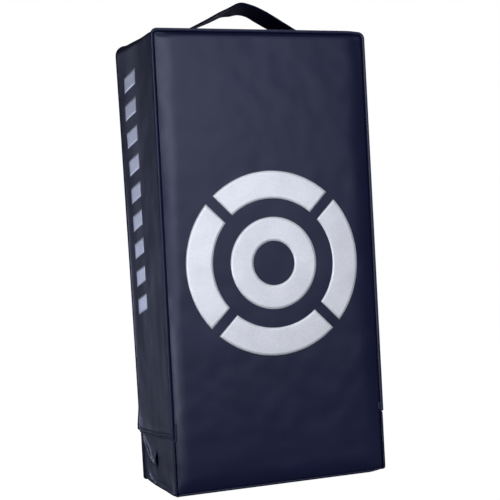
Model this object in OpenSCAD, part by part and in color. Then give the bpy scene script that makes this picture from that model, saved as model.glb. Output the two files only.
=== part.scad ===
// Long kick pad: a coated vinyl cover over layered foam, with a webbing carry handle on top, a hand grip
// and two forearm straps on the back, and a zip hidden under a lap in the bottom band.
// Millimetres. +X is to the right seen from the strike face, +Y points to the back, +Z is up.
// The origin is the middle of the face that the pad stands on.

/* [Pad] */
// Width across the strike face
pad_w = 300; // [290:5:340]
// Depth from the strike face to the back panel
pad_d = 150; // [145:5:180]
// Height without the carry handle
pad_h = 600; // [560:10:750]
// Corner radius of the cover, seen from the front
corner_r = 9; // [8:1:20]
// How far a face panel swells past its seam
crown = 6; // [4:1:8]
// Width of the sloping rim of a face panel
crown_rim = 16; // [12:1:20]
// Thickness of the coated vinyl
skin = 1.2; // [1:0.1:1.4]
// Thickness of the firm foam sheets in front and behind
firm_foam = 30; // [20:1:31]

/* [Bottom band] */
// Height of the hem where the main gusset overlaps the bottom band
hem_z = 75; // [70:1:90]
// Height of the folded hem
hem_h = 15; // [12:1:20]
// Place of the lap's free edge in the depth of the pad
lap_y = 12; // [11:0.5:12]
// Place of the zip in the depth of the pad
zip_y = 27; // [27:0.5:28]

/* [Carry handle] */
// Width of the carry handle's webbing
handle_w = 50; // [38:1:50]
// Half of the handle's span between its sewn ends
handle_half_span = 88; // [84:1:100]
// Height of the point where the handle's legs would meet
handle_peak = 55; // [52:1:60]

/* [Hand grip] */
// Height of the hand grip above the floor
grip_z = 462; // [455:1:480]
// Width of the grip's webbing
grip_w = 25; // [20:1:25]
// Height of the grip's centre above the webbing's foot
grip_rise = 47; // [46:1:52]
// Radius of the grip's foam tube
grip_r = 15; // [14.5:0.5:16]

/* [Forearm straps] */
// Height of the upper strap above the floor
upper_strap_z = 342; // [335:1:350]
// Height of the lower strap above the floor
lower_strap_z = 212; // [200:1:220]
// Width of the strap webbing
strap_w = 50; // [40:1:50]
// Half width of the strap's arch
arch_half_w = 62; // [60:0.5:63]
// Height of the strap's arch above its foot fillet
arch_rise = 46; // [40:1:50]

/* [Print] */
// Outer radius of the target on the strike face
target_r = 122; // [90:1:122]
// Height of the target's centre
target_z = 291; // [280:1:320]
// Number of slanted bars on the left side
side_bars = 9; // [5:1:10]
// Length of the column of bars
side_print_h = 340; // [200:10:380]

/* [Hidden] */

half_w = pad_w / 2;
half_d = pad_d / 2;
fit = 0.2;                       // gap between plies that only touch
ply = 0.01;                      // a slice thin enough to start a hull from
panel_in = 2 * skin + fit;       // the face panels' outline lies this far inside the gusset's
seam_y = half_d - crown;         // plane of the seams between gusset and face panels
lip_y = seam_y + 2;              // the turned seam of the gusset stands 2 mm past the seam plane
lip_len = 4;
band_top = hem_z + hem_h + 2;    // the bottom band ends hidden under the hem
foam_y = half_d - firm_foam;     // plane between the firm and the soft foam
reach = 2000;                    // larger than the pad, for clipping

// Depths below the outer face of the bottom band, from the lap inwards
tuck_in = skin + fit;            // outer face of the ply tucked under the lap
pivot_in = 5;                    // pivot of the pull tab
plate_in = 6.3;                  // outer plate of the slider
plate_t = 0.9;
coil_in = plate_in + plate_t + fit;
coil_t = 2.2;
tape_t = 0.6;
under_in = coil_in + coil_t + fit;
groove_in = under_in + plate_t + 0.5;
coil_half_w = 2.9;
coil_slot = 0.7;                 // half of the slot between the two coils, where the slider's post runs
slider_z = 58;
slider_len = 12;
slider_half_w = 4.6;
tab_len = 16;
tab_pin_r = 0.6;
coil_top = 70;

web_t = 2;                       // thickness of all webbing
web_y = half_d + skin + web_t / 2;  // centre of webbing that lies on a patch on the back panel
strap_foot_r = 9;
strap_end_angle = 8;             // where the strap leaves its arch to pass round the ring
bar_r = 2;
wrap_r = 3.3;                    // centre line of the webbing round a ring's bar
tape_ply = 1;                    // thickness of hook tape and loop tape
tape_gap = 0.35;                 // between hook tape and loop tape
tail_off = web_t / 2 + 2 * tape_ply + tape_gap + web_t / 2 + 0.1;
tail_end_angle = 100;
ring_x = 72;                     // inner bar of the ring, in its sewn tab
handle_cut_x = 56;
grip_cut_x = 80.2;
film = 0.3;

$fn = 48;

// ---------- shared shapes ----------

// A rounded rectangle in the XZ plane from z0 to z1, drawn in 2D with z as its second axis
module rounded(half, z0, z1, r) {
    translate([-half, z0 + r]) square([2 * half, z1 - z0 - 2 * r]);
    translate([-half + r, z0]) square([2 * half - 2 * r, z1 - z0]);
    for (x = [-half + r, half - r], z = [z0 + r, z1 - r]) translate([x, z]) circle(r);
}

// The face panels' outline, moved inwards by a depth and extruded between two planes of y
module outline(depth, y0, y1) {
    translate([0, y1, 0]) rotate([90, 0, 0]) linear_extrude(y1 - y0)
        rounded(
            half_w - panel_in - depth, depth, pad_h - panel_in - depth,
            max(corner_r - panel_in - depth, 0.8)
        );
}

// A band that follows the outline between two depths
module band(depth0, depth1, y0, y1) {
    difference() {
        outline(depth0, y0, y1);
        outline(depth1, y0 - 1, y1 + 1);
    }
}

module above(z) {
    intersection() {
        children();
        translate([-reach, -reach, z]) cube(2 * reach);
    }
}

module below(z) {
    intersection() {
        children();
        translate([-reach, -reach, z - 2 * reach]) cube(2 * reach);
    }
}

// Keeps what lies between two values of x
module between_x(x0, x1) {
    intersection() {
        children();
        translate([x0, -reach, -reach]) cube([x1 - x0, 2 * reach, 2 * reach]);
    }
}

// A crowned slab behind a face panel, moved inwards by a depth, down to the plane y = back
module crowned(depth, back) {
    hull() {
        outline(depth, -seam_y + depth - ply, back);
        outline(depth + crown_rim, -half_d + depth, -half_d + depth + ply);
    }
}

function unit(v) = v / norm(v);
function reversed(path) = [for (i = [len(path) - 1:-1:0]) path[i]];
function left_of(path, i) =
    let (t = unit(path[min(i + 1, len(path) - 1)] - path[max(i - 1, 0)])) [-t[1], t[0]];
function shifted(path, d) = [for (i = [0:len(path) - 1]) path[i] + d * left_of(path, i)];
function arc(centre, r, from, to, steps) =
    [for (i = [0:steps]) let (a = from + (to - from) * i / steps) centre + r * [cos(a), sin(a)]];

// A polyline whose corners are eased by curves that start a given distance before each corner
function eased(points, ease, steps = 8) = [
    for (i = [0:len(points) - 1]) each
        i == 0 || i == len(points) - 1 ? [points[i]] :
        let (
            p = points[i],
            s = p + ease[i] * unit(points[i - 1] - p),
            e = p + ease[i] * unit(points[i + 1] - p)
        )
        [for (k = [0:steps]) let (t = k / steps) (1 - t) * (1 - t) * s + 2 * t * (1 - t) * p + t * t * e]
];

// Webbing or tape of a given width that follows a path, between two distances to the left of it
module ribbon(path, d0, d1, width) {
    linear_extrude(width, center = true)
        polygon(concat(shifted(path, d0), reversed(shifted(path, d1))));
}

// ---------- cover ----------

module front_panel() {
    color("#2a2c3c") difference() {
        crowned(0, -seam_y);
        crowned(skin, -seam_y + skin + ply);
    }
}

module back_panel() {
    mirror([0, 1, 0]) front_panel();
}

// One strip up the left side, over the top and down the right side, with turned seams and folded hems
module main_gusset() {
    color("#2a2c3c") above(hem_z) {
        band(-panel_in, -panel_in + skin, -lip_y, lip_y);
        for (y = [-lip_y, lip_y - lip_len]) band(-panel_in, -fit, y, y + lip_len);
        below(hem_z + hem_h) band(-panel_in, -fit, -lip_y, lip_y);
    }
}

// The front half of the bottom band; its edge is tucked under the lap and folded down to the zip tape
module zip_band_front() {
    color("#262838") below(band_top) {
        band(0, skin, -seam_y, lap_y - 2 * fit);
        band(skin, tuck_in + skin, lap_y - 3, lap_y - 2 * fit);
        band(tuck_in, tuck_in + skin, lap_y - 2 * fit, lap_y + 10);
        band(tuck_in, coil_in - fit, lap_y + 10 - skin, lap_y + 10);
    }
}

// The back half of the bottom band; its free edge is the lap that hides the zip
module zip_band_back() {
    color("#262838") below(band_top) {
        band(0, skin, lap_y, seam_y);
        band(skin, coil_in - fit, zip_y + 13 - skin, zip_y + 13);
    }
}

// ---------- zip ----------

module zip_tape(side) {
    tape_w = 13 - coil_half_w;
    y_tape = side < 0 ? zip_y - 13 : zip_y + coil_half_w;
    y_coil = side < 0 ? zip_y - coil_half_w : zip_y + coil_slot;
    color("#15161c") {
        below(band_top - 4) band(coil_in, coil_in + tape_t, y_tape, y_tape + tape_w);
        below(coil_top) band(coil_in, coil_in + coil_t, y_coil, y_coil + coil_half_w - coil_slot);
    }
}

module zip_end_stops() {
    for (s = [-1, 1])
        color("#8a8d92") translate([
            s * (half_w - panel_in - coil_in - coil_t / 2) - coil_t / 2,
            zip_y - coil_half_w + fit, coil_top + fit
        ]) cube([coil_t, 2 * coil_half_w - 2 * fit, 3]);
}

// A block on the left side between two depths, centred on the zip
module left_block(in0, in1, y0, y1, z0, z1) {
    x_face = -half_w + panel_in;
    translate([x_face + in0, y0, z0]) cube([in1 - in0, y1 - y0, z1 - z0]);
}

module zip_slider() {
    z0 = slider_z - slider_len / 2;
    z1 = slider_z + slider_len / 2;
    color("#8a8d92") {
        for (d = [plate_in, under_in])
            left_block(d, d + plate_t, zip_y - slider_half_w, zip_y + slider_half_w, z0, z1);
        left_block(plate_in, under_in + plate_t, zip_y - 0.5, zip_y + 0.5, z1 - 4, z1);
        for (y = [zip_y - 3.5, zip_y + 2.5])
            left_block(pivot_in - 1, plate_in + 0.1, y, y + 1, slider_z - 2.5, slider_z + 0.5);
        translate([-half_w + panel_in + pivot_in, zip_y, slider_z - 1])
            rotate([90, 0, 0]) cylinder(r = tab_pin_r, h = 6, center = true);
    }
}

module zip_pull_tab() {
    color("#8a8d92") translate([-half_w + panel_in + pivot_in, zip_y, slider_z - 1]) difference() {
        union() {
            rotate([90, 0, 0]) cylinder(r = 1.15, h = 4.6, center = true);
            translate([-0.5, -2.3, -6]) cube([1, 4.6, 6]);
            translate([-0.5, -3.2, -tab_len]) cube([1, 6.4, tab_len - 5]);
        }
        rotate([90, 0, 0]) cylinder(r = tab_pin_r + 0.05, h = 10, center = true);
    }
}

// ---------- foam ----------

module front_foam() {
    color("#d8d4c4") crowned(skin + fit, -foam_y);
}

module back_foam() {
    mirror([0, 1, 0]) front_foam();
}

// Soft block; it is squeezed by the tighter bottom band and grooved where the zip runs
module core_foam() {
    step_z = band_top + 2;
    color("#b9b6ad") difference() {
        union() {
            above(step_z) outline(-panel_in + skin + fit, -foam_y, foam_y);
            below(step_z) outline(skin + fit, -foam_y, foam_y);
        }
        below(step_z) band(-1, groove_in, lap_y - 3.4, zip_y + 16.4);
    }
}

// ---------- carry handle ----------

function handle_path() = eased([
    [-handle_half_span - 38, pad_h + web_t / 2],
    [-handle_half_span, pad_h + web_t / 2],
    [0, pad_h + web_t / 2 + handle_peak],
    [handle_half_span, pad_h + web_t / 2],
    [handle_half_span + 38, pad_h + web_t / 2]
], [0, 8, 42, 8, 0]);

module handle_strap() {
    color("#10111a") rotate([90, 0, 0]) ribbon(handle_path(), -web_t / 2, web_t / 2, handle_w);
}

module top_handle() {
    between_x(-handle_cut_x + fit, handle_cut_x - fit) handle_strap();
}

module top_handle_end_left() {
    between_x(-reach, -handle_cut_x - fit) handle_strap();
}

module top_handle_end_right() {
    between_x(handle_cut_x + fit, reach) handle_strap();
}

// ---------- hand grip ----------

function grip_path() = eased([
    [-118, web_y], [-86, web_y], [-62, web_y + grip_rise],
    [62, web_y + grip_rise], [86, web_y], [118, web_y]
], [0, 7, 14, 14, 7, 0]);

module grip_strap() {
    color("#10111a") translate([0, 0, grip_z]) ribbon(grip_path(), -web_t / 2, web_t / 2, grip_w);
}

module grip_webbing() {
    between_x(-grip_cut_x + fit, grip_cut_x - fit) grip_strap();
}

module grip_end_left() {
    between_x(-reach, -grip_cut_x - fit) grip_strap();
}

module grip_end_right() {
    between_x(grip_cut_x + fit, reach) grip_strap();
}

module grip_tube() {
    color("#3a3b40") translate([0, web_y + grip_rise, grip_z]) difference() {
        rotate([0, 90, 0]) cylinder(r = grip_r, h = 92, center = true);
        cube([100, web_t + 0.4, grip_w + 0.8], center = true);
    }
}

module grip_cover() {
    color("#1e2030") translate([0, web_y + grip_rise, grip_z]) rotate([0, 90, 0]) difference() {
        cylinder(r = grip_r + fit + skin, h = 94, center = true);
        cylinder(r = grip_r + fit, h = 100, center = true);
    }
}

// A vinyl patch under a sewn end, on the back panel
module patch(x0, x1, z, half_h) {
    color("#262838") translate([x0, half_d, z - half_h]) cube([x1 - x0, skin, 2 * half_h]);
}

// ---------- forearm straps ----------

function arch_point(a) =
    [arch_half_w * cos(a), web_y + strap_foot_r + arch_rise * sin(a)];
function arch(from, to, steps) =
    [for (i = [0:steps]) arch_point(from + (to - from) * i / steps)];
function arch_out(a) = unit([arch_rise * cos(a), arch_half_w * sin(a)]);
function ring_bar() = arch_point(strap_end_angle) + wrap_r * arch_out(strap_end_angle);
function wrap_angle() =
    let (n = arch_out(strap_end_angle)) atan2(n[1], n[0]) + 180;

// From the sewn foot on the left over the arch and round the ring's outer bar
function strap_path() = concat(
    [[-arch_half_w - strap_foot_r - 37, web_y]],
    arc([-arch_half_w - strap_foot_r, web_y + strap_foot_r], strap_foot_r, -90, 0, 6),
    [for (i = [1:32]) arch_point(180 + (strap_end_angle - 180) * i / 32)],
    [for (i = [1:9]) arc(ring_bar(), wrap_r, wrap_angle(), wrap_angle() + 180, 9)[i]]
);

// The tail leaves the ring outside the wrap and settles on the strap's outer face
function tail_gap(a) = tail_off + 5.2 * pow(max(0, 1 - (a - strap_end_angle) / 25), 2);
function tail_path() = [
    for (i = [0:24])
        let (a = tail_end_angle + (strap_end_angle - tail_end_angle) * i / 24)
        arch_point(a) + tail_gap(a) * arch_out(a)
];
function tail_inner_path() =
    [for (i = [0:12]) let (a = 97 - 55 * i / 12) arch_point(a) + tail_gap(a) * arch_out(a)];

// Two plies sewn flat on the patch, with the ring's inner bar in their loop
function ring_tab_path() = let (c = [ring_x, half_d + skin + wrap_r + 0.9]) concat(
    [[ring_x + 40, web_y]],
    [for (i = [0:9]) arc(c, 3.2, 270, 90, 9)[i]],
    [[ring_x + 13, web_y + web_t + fit], [ring_x + 40, web_y + web_t + fit]]
);

module strap(z) {
    color("#10111a") translate([0, 0, z]) ribbon(strap_path(), -web_t / 2, web_t / 2, strap_w);
}

module strap_loop_tape(z) {
    color("#1c1d26") translate([0, 0, z])
        ribbon(arch(150, 40, 24), web_t / 2 + 0.05, web_t / 2 + 0.05 + tape_ply, strap_w - 4);
}

module strap_tail(z) {
    color("#10111a") translate([0, 0, z]) ribbon(tail_path(), -web_t / 2, web_t / 2, strap_w);
}

module strap_hook_tape(z) {
    color("#1c1d26") translate([0, 0, z])
        ribbon(tail_inner_path(), -web_t / 2 - 0.05 - tape_ply, -web_t / 2 - 0.05, strap_w - 4);
}

module strap_ring_tab(z) {
    color("#10111a") translate([0, 0, z]) ribbon(ring_tab_path(), -web_t / 2, web_t / 2, strap_w);
}

// A welded wire ring: two bars along the webbing's width and two short side bars
module strap_ring(z) {
    outer = ring_bar();
    inner = [ring_x, half_d + skin + wrap_r + 0.9];
    run = outer - inner;
    side_z = strap_w / 2 + bar_r + 1;
    color("#9a9ca0") translate([0, 0, z]) {
        for (p = [outer, inner])
            translate([p[0], p[1], 0]) cylinder(r = bar_r, h = 2 * (side_z + bar_r), center = true);
        for (s = [-side_z, side_z])
            translate([inner[0], inner[1], s]) rotate([0, 0, atan2(run[1], run[0])])
                rotate([0, 90, 0]) cylinder(r = bar_r - 0.1, h = norm(run));
    }
}

// ---------- print ----------

// Ring sectors and a round centre, as a flat film on the strike face
module target_print() {
    color("#c9cdd8") translate([0, -half_d, target_z]) rotate([90, 0, 0]) linear_extrude(film) {
        difference() {
            circle(target_r, $fn = 96);
            circle(target_r * 0.7, $fn = 96);
            for (a = [45, 135]) rotate(a) square([3 * target_r, 14], center = true);
        }
        difference() {
            circle(target_r * 0.5, $fn = 96);
            circle(target_r * 0.24, $fn = 96);
        }
    }
}

// A column of slanted bars on the left side
module side_print() {
    pitch = side_print_h / side_bars;
    color("#a8abb8") for (i = [0:side_bars - 1])
        translate([-half_w, 27, target_z + 104 + (i + 0.5) * pitch - side_print_h / 2]) rotate([0, -90, 0]) rotate([0, 0, 90])
            linear_extrude(film)
                polygon([[-19, -pitch * 0.4], [19, -pitch * 0.16], [19, pitch * 0.4], [-19, pitch * 0.16]]);
}

front_panel();
back_panel();
main_gusset();
zip_band_front();
zip_band_back();
zip_tape(-1);  // zip_tape_front
zip_tape(1);  // zip_tape_back
zip_end_stops();
zip_slider();
zip_pull_tab();
front_foam();
core_foam();
back_foam();
top_handle();
top_handle_end_left();
top_handle_end_right();
grip_webbing();
grip_tube();
grip_cover();
grip_end_left();
grip_end_right();
patch(-126, -80, grip_z, 20);  // grip_patch_left
patch(80, 126, grip_z, 20);  // grip_patch_right
strap(upper_strap_z);  // upper_strap
strap_loop_tape(upper_strap_z);  // upper_strap_loop_tape
strap_ring(upper_strap_z);  // upper_strap_ring
strap_ring_tab(upper_strap_z);  // upper_strap_ring_tab
patch(-116, -66, upper_strap_z, 31);  // upper_strap_patch_left
patch(66, 120, upper_strap_z, 31);  // upper_strap_patch_right
strap_tail(upper_strap_z);  // upper_strap_tail
strap_hook_tape(upper_strap_z);  // upper_strap_hook_tape
strap(lower_strap_z);  // lower_strap
strap_loop_tape(lower_strap_z);  // lower_strap_loop_tape
strap_ring(lower_strap_z);  // lower_strap_ring
strap_ring_tab(lower_strap_z);  // lower_strap_ring_tab
patch(-116, -66, lower_strap_z, 31);  // lower_strap_patch_left
patch(66, 120, lower_strap_z, 31);  // lower_strap_patch_right
strap_tail(lower_strap_z);  // lower_strap_tail
strap_hook_tape(lower_strap_z);  // lower_strap_hook_tape
target_print();
side_print();
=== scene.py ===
"""The looks of a long kick pad: a vinyl cover over foam, a carry handle, a hand grip, two arm straps."""
import math

import bmesh
import bpy
import numpy as np
from mathutils import Matrix, Vector
from mathutils.bvhtree import BVHTree

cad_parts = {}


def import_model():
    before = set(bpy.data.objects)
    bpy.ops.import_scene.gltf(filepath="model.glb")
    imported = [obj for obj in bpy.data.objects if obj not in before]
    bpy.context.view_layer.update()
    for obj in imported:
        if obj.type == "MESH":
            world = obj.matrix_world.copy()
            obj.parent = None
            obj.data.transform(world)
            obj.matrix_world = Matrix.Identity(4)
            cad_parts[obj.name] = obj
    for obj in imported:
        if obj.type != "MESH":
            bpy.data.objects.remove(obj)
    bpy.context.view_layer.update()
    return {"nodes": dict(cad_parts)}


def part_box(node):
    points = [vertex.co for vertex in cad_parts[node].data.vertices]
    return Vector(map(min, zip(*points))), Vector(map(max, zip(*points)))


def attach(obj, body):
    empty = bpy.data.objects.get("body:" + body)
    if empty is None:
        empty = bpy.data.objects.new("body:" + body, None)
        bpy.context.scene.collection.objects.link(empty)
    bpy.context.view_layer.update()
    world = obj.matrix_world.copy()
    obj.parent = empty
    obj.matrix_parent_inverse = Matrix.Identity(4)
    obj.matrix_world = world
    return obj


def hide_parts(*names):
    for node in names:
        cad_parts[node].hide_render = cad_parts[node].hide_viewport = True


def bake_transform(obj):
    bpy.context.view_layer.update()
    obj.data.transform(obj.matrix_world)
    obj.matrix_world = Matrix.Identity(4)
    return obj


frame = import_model()

MM = 0.001
ROOT = "padded_body"


# ---------------------------------------------------------------- sizes, in millimetres, from the frame

def box_mm(node):
    """A node's lowest and highest corners."""
    low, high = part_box(node)
    return np.array(low) / MM, np.array(high) / MM


GUSSET_LO, GUSSET_HI = box_mm("main_gusset")
PANEL_LO, PANEL_HI = box_mm("front_panel")

HALF_W = GUSSET_HI[0]
TOP_Z = GUSSET_HI[2]
HEM_Z = GUSSET_LO[2]
LIP_Y = GUSSET_HI[1]
FACE_Y = -PANEL_LO[1]
SEAM_Y = -PANEL_HI[1]
PANEL_HALF = PANEL_HI[0]
PANEL_TOP = PANEL_HI[2]
BAND_TOP = box_mm("zip_band_front")[1][2]
LAP_Y = box_mm("zip_band_back")[0][1]
SKIN = 1.2
HEM_H = 15.0
FRONT_R = 7.0
BACK_R = 13.0
PANEL_R = 5.0


# ---------------------------------------------------------------- meshes

def new_object(name, verts, faces, material, uv=None, smooth=True):
    """A mesh object from millimetre coordinates."""
    mesh = bpy.data.meshes.new(name)
    mesh.from_pydata((np.asarray(verts, float) * MM).tolist(), [], [list(map(int, f)) for f in faces])
    mesh.validate()
    if uv is not None:
        layer = mesh.uv_layers.new(name="cloth")
        index = np.zeros(len(mesh.loops), int)
        mesh.loops.foreach_get("vertex_index", index)
        layer.data.foreach_set("uv", (np.asarray(uv, float)[index] * MM).ravel())
    mesh.polygons.foreach_set("use_smooth", [smooth] * len(mesh.polygons))
    mesh.materials.append(material)
    mesh.update()
    obj = bpy.data.objects.new(name, mesh)
    bpy.context.scene.collection.objects.link(obj)
    return obj


def grid_faces(rows, cols, wrap=False, flip=False, base=0):
    """Quads of a rows x cols grid of vertices; wrap closes the columns into a ring."""
    i, j = np.meshgrid(np.arange(rows - 1), np.arange(cols if wrap else cols - 1), indexing="ij")
    k = (j + 1) % cols
    quads = np.stack([i * cols + j, i * cols + k, (i + 1) * cols + k, (i + 1) * cols + j], -1).reshape(-1, 4)
    return (quads[:, ::-1] if flip else quads) + base


def grid_normals(grid):
    """Unit normals of a grid of points, on the side that grid_faces' winding faces."""
    normal = np.cross(np.gradient(grid, axis=1), np.gradient(grid, axis=0))
    return normal / np.maximum(np.linalg.norm(normal, axis=-1, keepdims=True), 1e-9)


def outline(rows, cols):
    """The vertices round the edge of a grid."""
    return np.concatenate([
        np.arange(cols), np.arange(1, rows) * cols + cols - 1,
        (rows - 1) * cols + np.arange(cols - 2, -1, -1), np.arange(rows - 2, 0, -1) * cols,
    ])


def rim_quads(loop, count):
    """Quads between a loop of vertices and the same loop count vertices later."""
    after = np.roll(loop, -1)
    return np.stack([after, loop, loop + count, after + count], -1)


def shell(name, outer, inner, material):
    """A closed skin between two grids of the same shape."""
    rows, cols = outer.shape[:2]
    count = rows * cols
    rim = rim_quads(outline(rows, cols), count)
    faces = np.concatenate([grid_faces(rows, cols), grid_faces(rows, cols, flip=True, base=count), rim])
    obj = new_object(name, np.concatenate([outer.reshape(-1, 3), inner.reshape(-1, 3)]), faces, material)
    face_outwards(obj)
    return obj


def face_outwards(obj):
    """Turns all faces of a closed mesh to the outside."""
    mesh = obj.data
    co = np.zeros(len(mesh.vertices) * 3)
    mesh.vertices.foreach_get("co", co)
    co = co.reshape(-1, 3)
    mesh.calc_loop_triangles()
    tri = np.zeros(len(mesh.loop_triangles) * 3, int)
    mesh.loop_triangles.foreach_get("vertices", tri)
    a, b, c = (co[tri.reshape(-1, 3)[:, k]] for k in range(3))
    if np.einsum("ij,ij->i", a, np.cross(b, c)).sum() < 0:
        mesh.flip_normals()


def tube(name, rings, material, uv=None, closed=False):
    """A closed solid through rings of points, an (n, m, 3) array; closed joins the last ring to the first."""
    n, m = rings.shape[:2]
    verts = rings.reshape(-1, 3)
    if closed:
        i, j = np.meshgrid(np.arange(n), np.arange(m), indexing="ij")
        a, b = (i + 1) % n, (j + 1) % m
        faces = np.stack([i * m + j, i * m + b, a * m + b, a * m + j], -1).reshape(-1, 4).tolist()
    else:
        faces = grid_faces(n, m, wrap=True).tolist()
        faces += [list(range(m))[::-1], list(range((n - 1) * m, n * m))]
    obj = new_object(name, verts, faces, material, None if uv is None else uv.reshape(-1, 2))
    face_outwards(obj)
    return obj


def lengths(points):
    """Distance along a polyline at each of its points."""
    return np.concatenate([[0], np.cumsum(np.linalg.norm(np.diff(points, axis=0), axis=1))])


def resampled(points, step):
    """A polyline with even spacing."""
    s = lengths(points)
    at = np.linspace(0, s[-1], max(2, int(round(s[-1] / step)) + 1))
    return np.stack([np.interp(at, s, points[:, k]) for k in range(points.shape[1])], 1)


def smooth_step(x, low, high):
    """0 below low, 1 above high, and a smooth rise between them."""
    t = np.clip((np.asarray(x, float) - low) / (high - low), 0, 1)
    return t * t * (3 - 2 * t)


def bump(x, centre, width):
    """A smooth hill of height 1."""
    return np.exp(-((np.asarray(x, float) - centre) / width) ** 2)


def ripple(*terms):
    """A smooth irregular wave: terms are (value, wavelength, phase, amplitude)."""
    return sum(amp * np.sin(2 * math.pi * value / wave + phase) for value, wave, phase, amp in terms)


def round_corners(x, z, half_x, half_z, radius):
    """Moves the points of a rectangular grid so that its corners are round."""
    u = np.clip((np.abs(x) - (half_x - radius)) / radius, 0, 1)
    v = np.clip((np.abs(z) - (half_z - radius)) / radius, 0, 1)
    corner = (u > 0) & (v > 0)
    bent_x = half_x - radius + radius * u * np.sqrt(1 - v * v / 2)
    bent_z = half_z - radius + radius * v * np.sqrt(1 - u * u / 2)
    return np.where(corner, np.sign(x) * bent_x, x), np.where(corner, np.sign(z) * bent_z, z)


def inside_edge(x, z, half_x, half_z, radius):
    """How far points are inside a rectangle with round corners, and how far into its corners they are."""
    over_x, over_z = np.abs(x) - (half_x - radius), np.abs(z) - (half_z - radius)
    cornered = np.hypot(np.maximum(over_x, 0), np.maximum(over_z, 0))
    return radius - cornered - np.minimum(np.maximum(over_x, over_z), 0), cornered


def round_rectangle(half_x, half_z, radius, steps):
    """A closed line round a rectangle with round corners."""
    line = []
    for side_x, side_z, start in ((1, 1, 0), (-1, 1, 0.5), (-1, -1, 1.0), (1, -1, 1.5)):
        for t in np.linspace(0, 0.5, steps):
            angle = math.pi * (start + t)
            x = side_x * (half_x - radius) + radius * math.cos(angle)
            line.append((x, side_z * (half_z - radius) + radius * math.sin(angle)))
    line.append(line[0])
    return np.array(line)


def stands_for(obj, body, slot, *nodes, fill=None):
    """Ties a piece to its body and hides the CAD nodes it replaces; slot and fill are not used."""
    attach(obj, body)
    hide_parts(*nodes)


# ---------------------------------------------------------------- cloth

CLOTH_FRAMES = 14


def slacken(grid, pins, growth, most, bending, cap):
    """Cloth simulation of a sheet that is cut a little too large for its seams, so that it puckers.

    pins is how firmly each point is held by the foam behind it. growth is how much too large the cloth is
    there, where 1 means most. bending is the cloth's stiffness, and cap is how far in millimetres a point may
    move.
    """
    rows, cols = grid.shape[:2]
    material = bpy.data.materials.new("cloth_stand_in")
    obj = new_object("cloth_stand_in", grid.reshape(-1, 3), grid_faces(rows, cols), material)
    for name, weights in (("pins", pins), ("growth", growth)):
        group = obj.vertex_groups.new(name=name)
        for index, weight in enumerate(np.clip(weights, 0, 1).ravel()):
            group.add([index], float(weight), "REPLACE")
    mod = obj.modifiers.new("Cloth", "CLOTH")
    settings = mod.settings
    settings.quality = 6
    settings.mass = 0.4
    settings.air_damping = 6
    settings.tension_stiffness = 30
    settings.compression_stiffness = 30
    settings.shear_stiffness = 10
    settings.bending_stiffness = bending
    settings.vertex_group_mass = "pins"
    settings.pin_stiffness = 1.0
    settings.vertex_group_shrink = "growth"
    settings.shrink_min = 0.0
    settings.shrink_max = -most
    settings.effector_weights.gravity = 0
    mod.collision_settings.use_collision = False
    mod.point_cache.frame_start = 1
    mod.point_cache.frame_end = CLOTH_FRAMES
    scene = bpy.context.scene
    for number in range(1, CLOTH_FRAMES + 1):
        scene.frame_set(number)
    evaluated = obj.evaluated_get(bpy.context.evaluated_depsgraph_get())
    after = np.zeros(rows * cols * 3)
    evaluated.data.vertices.foreach_get("co", after)
    bpy.data.objects.remove(obj)
    bpy.data.materials.remove(material)
    scene.frame_set(1)
    moved = after.reshape(rows, cols, 3) / MM - grid
    far = np.linalg.norm(moved, axis=-1, keepdims=True)
    return grid + moved * np.minimum(1, cap / np.maximum(far, 1e-6))


# ---------------------------------------------------------------- materials

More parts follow.
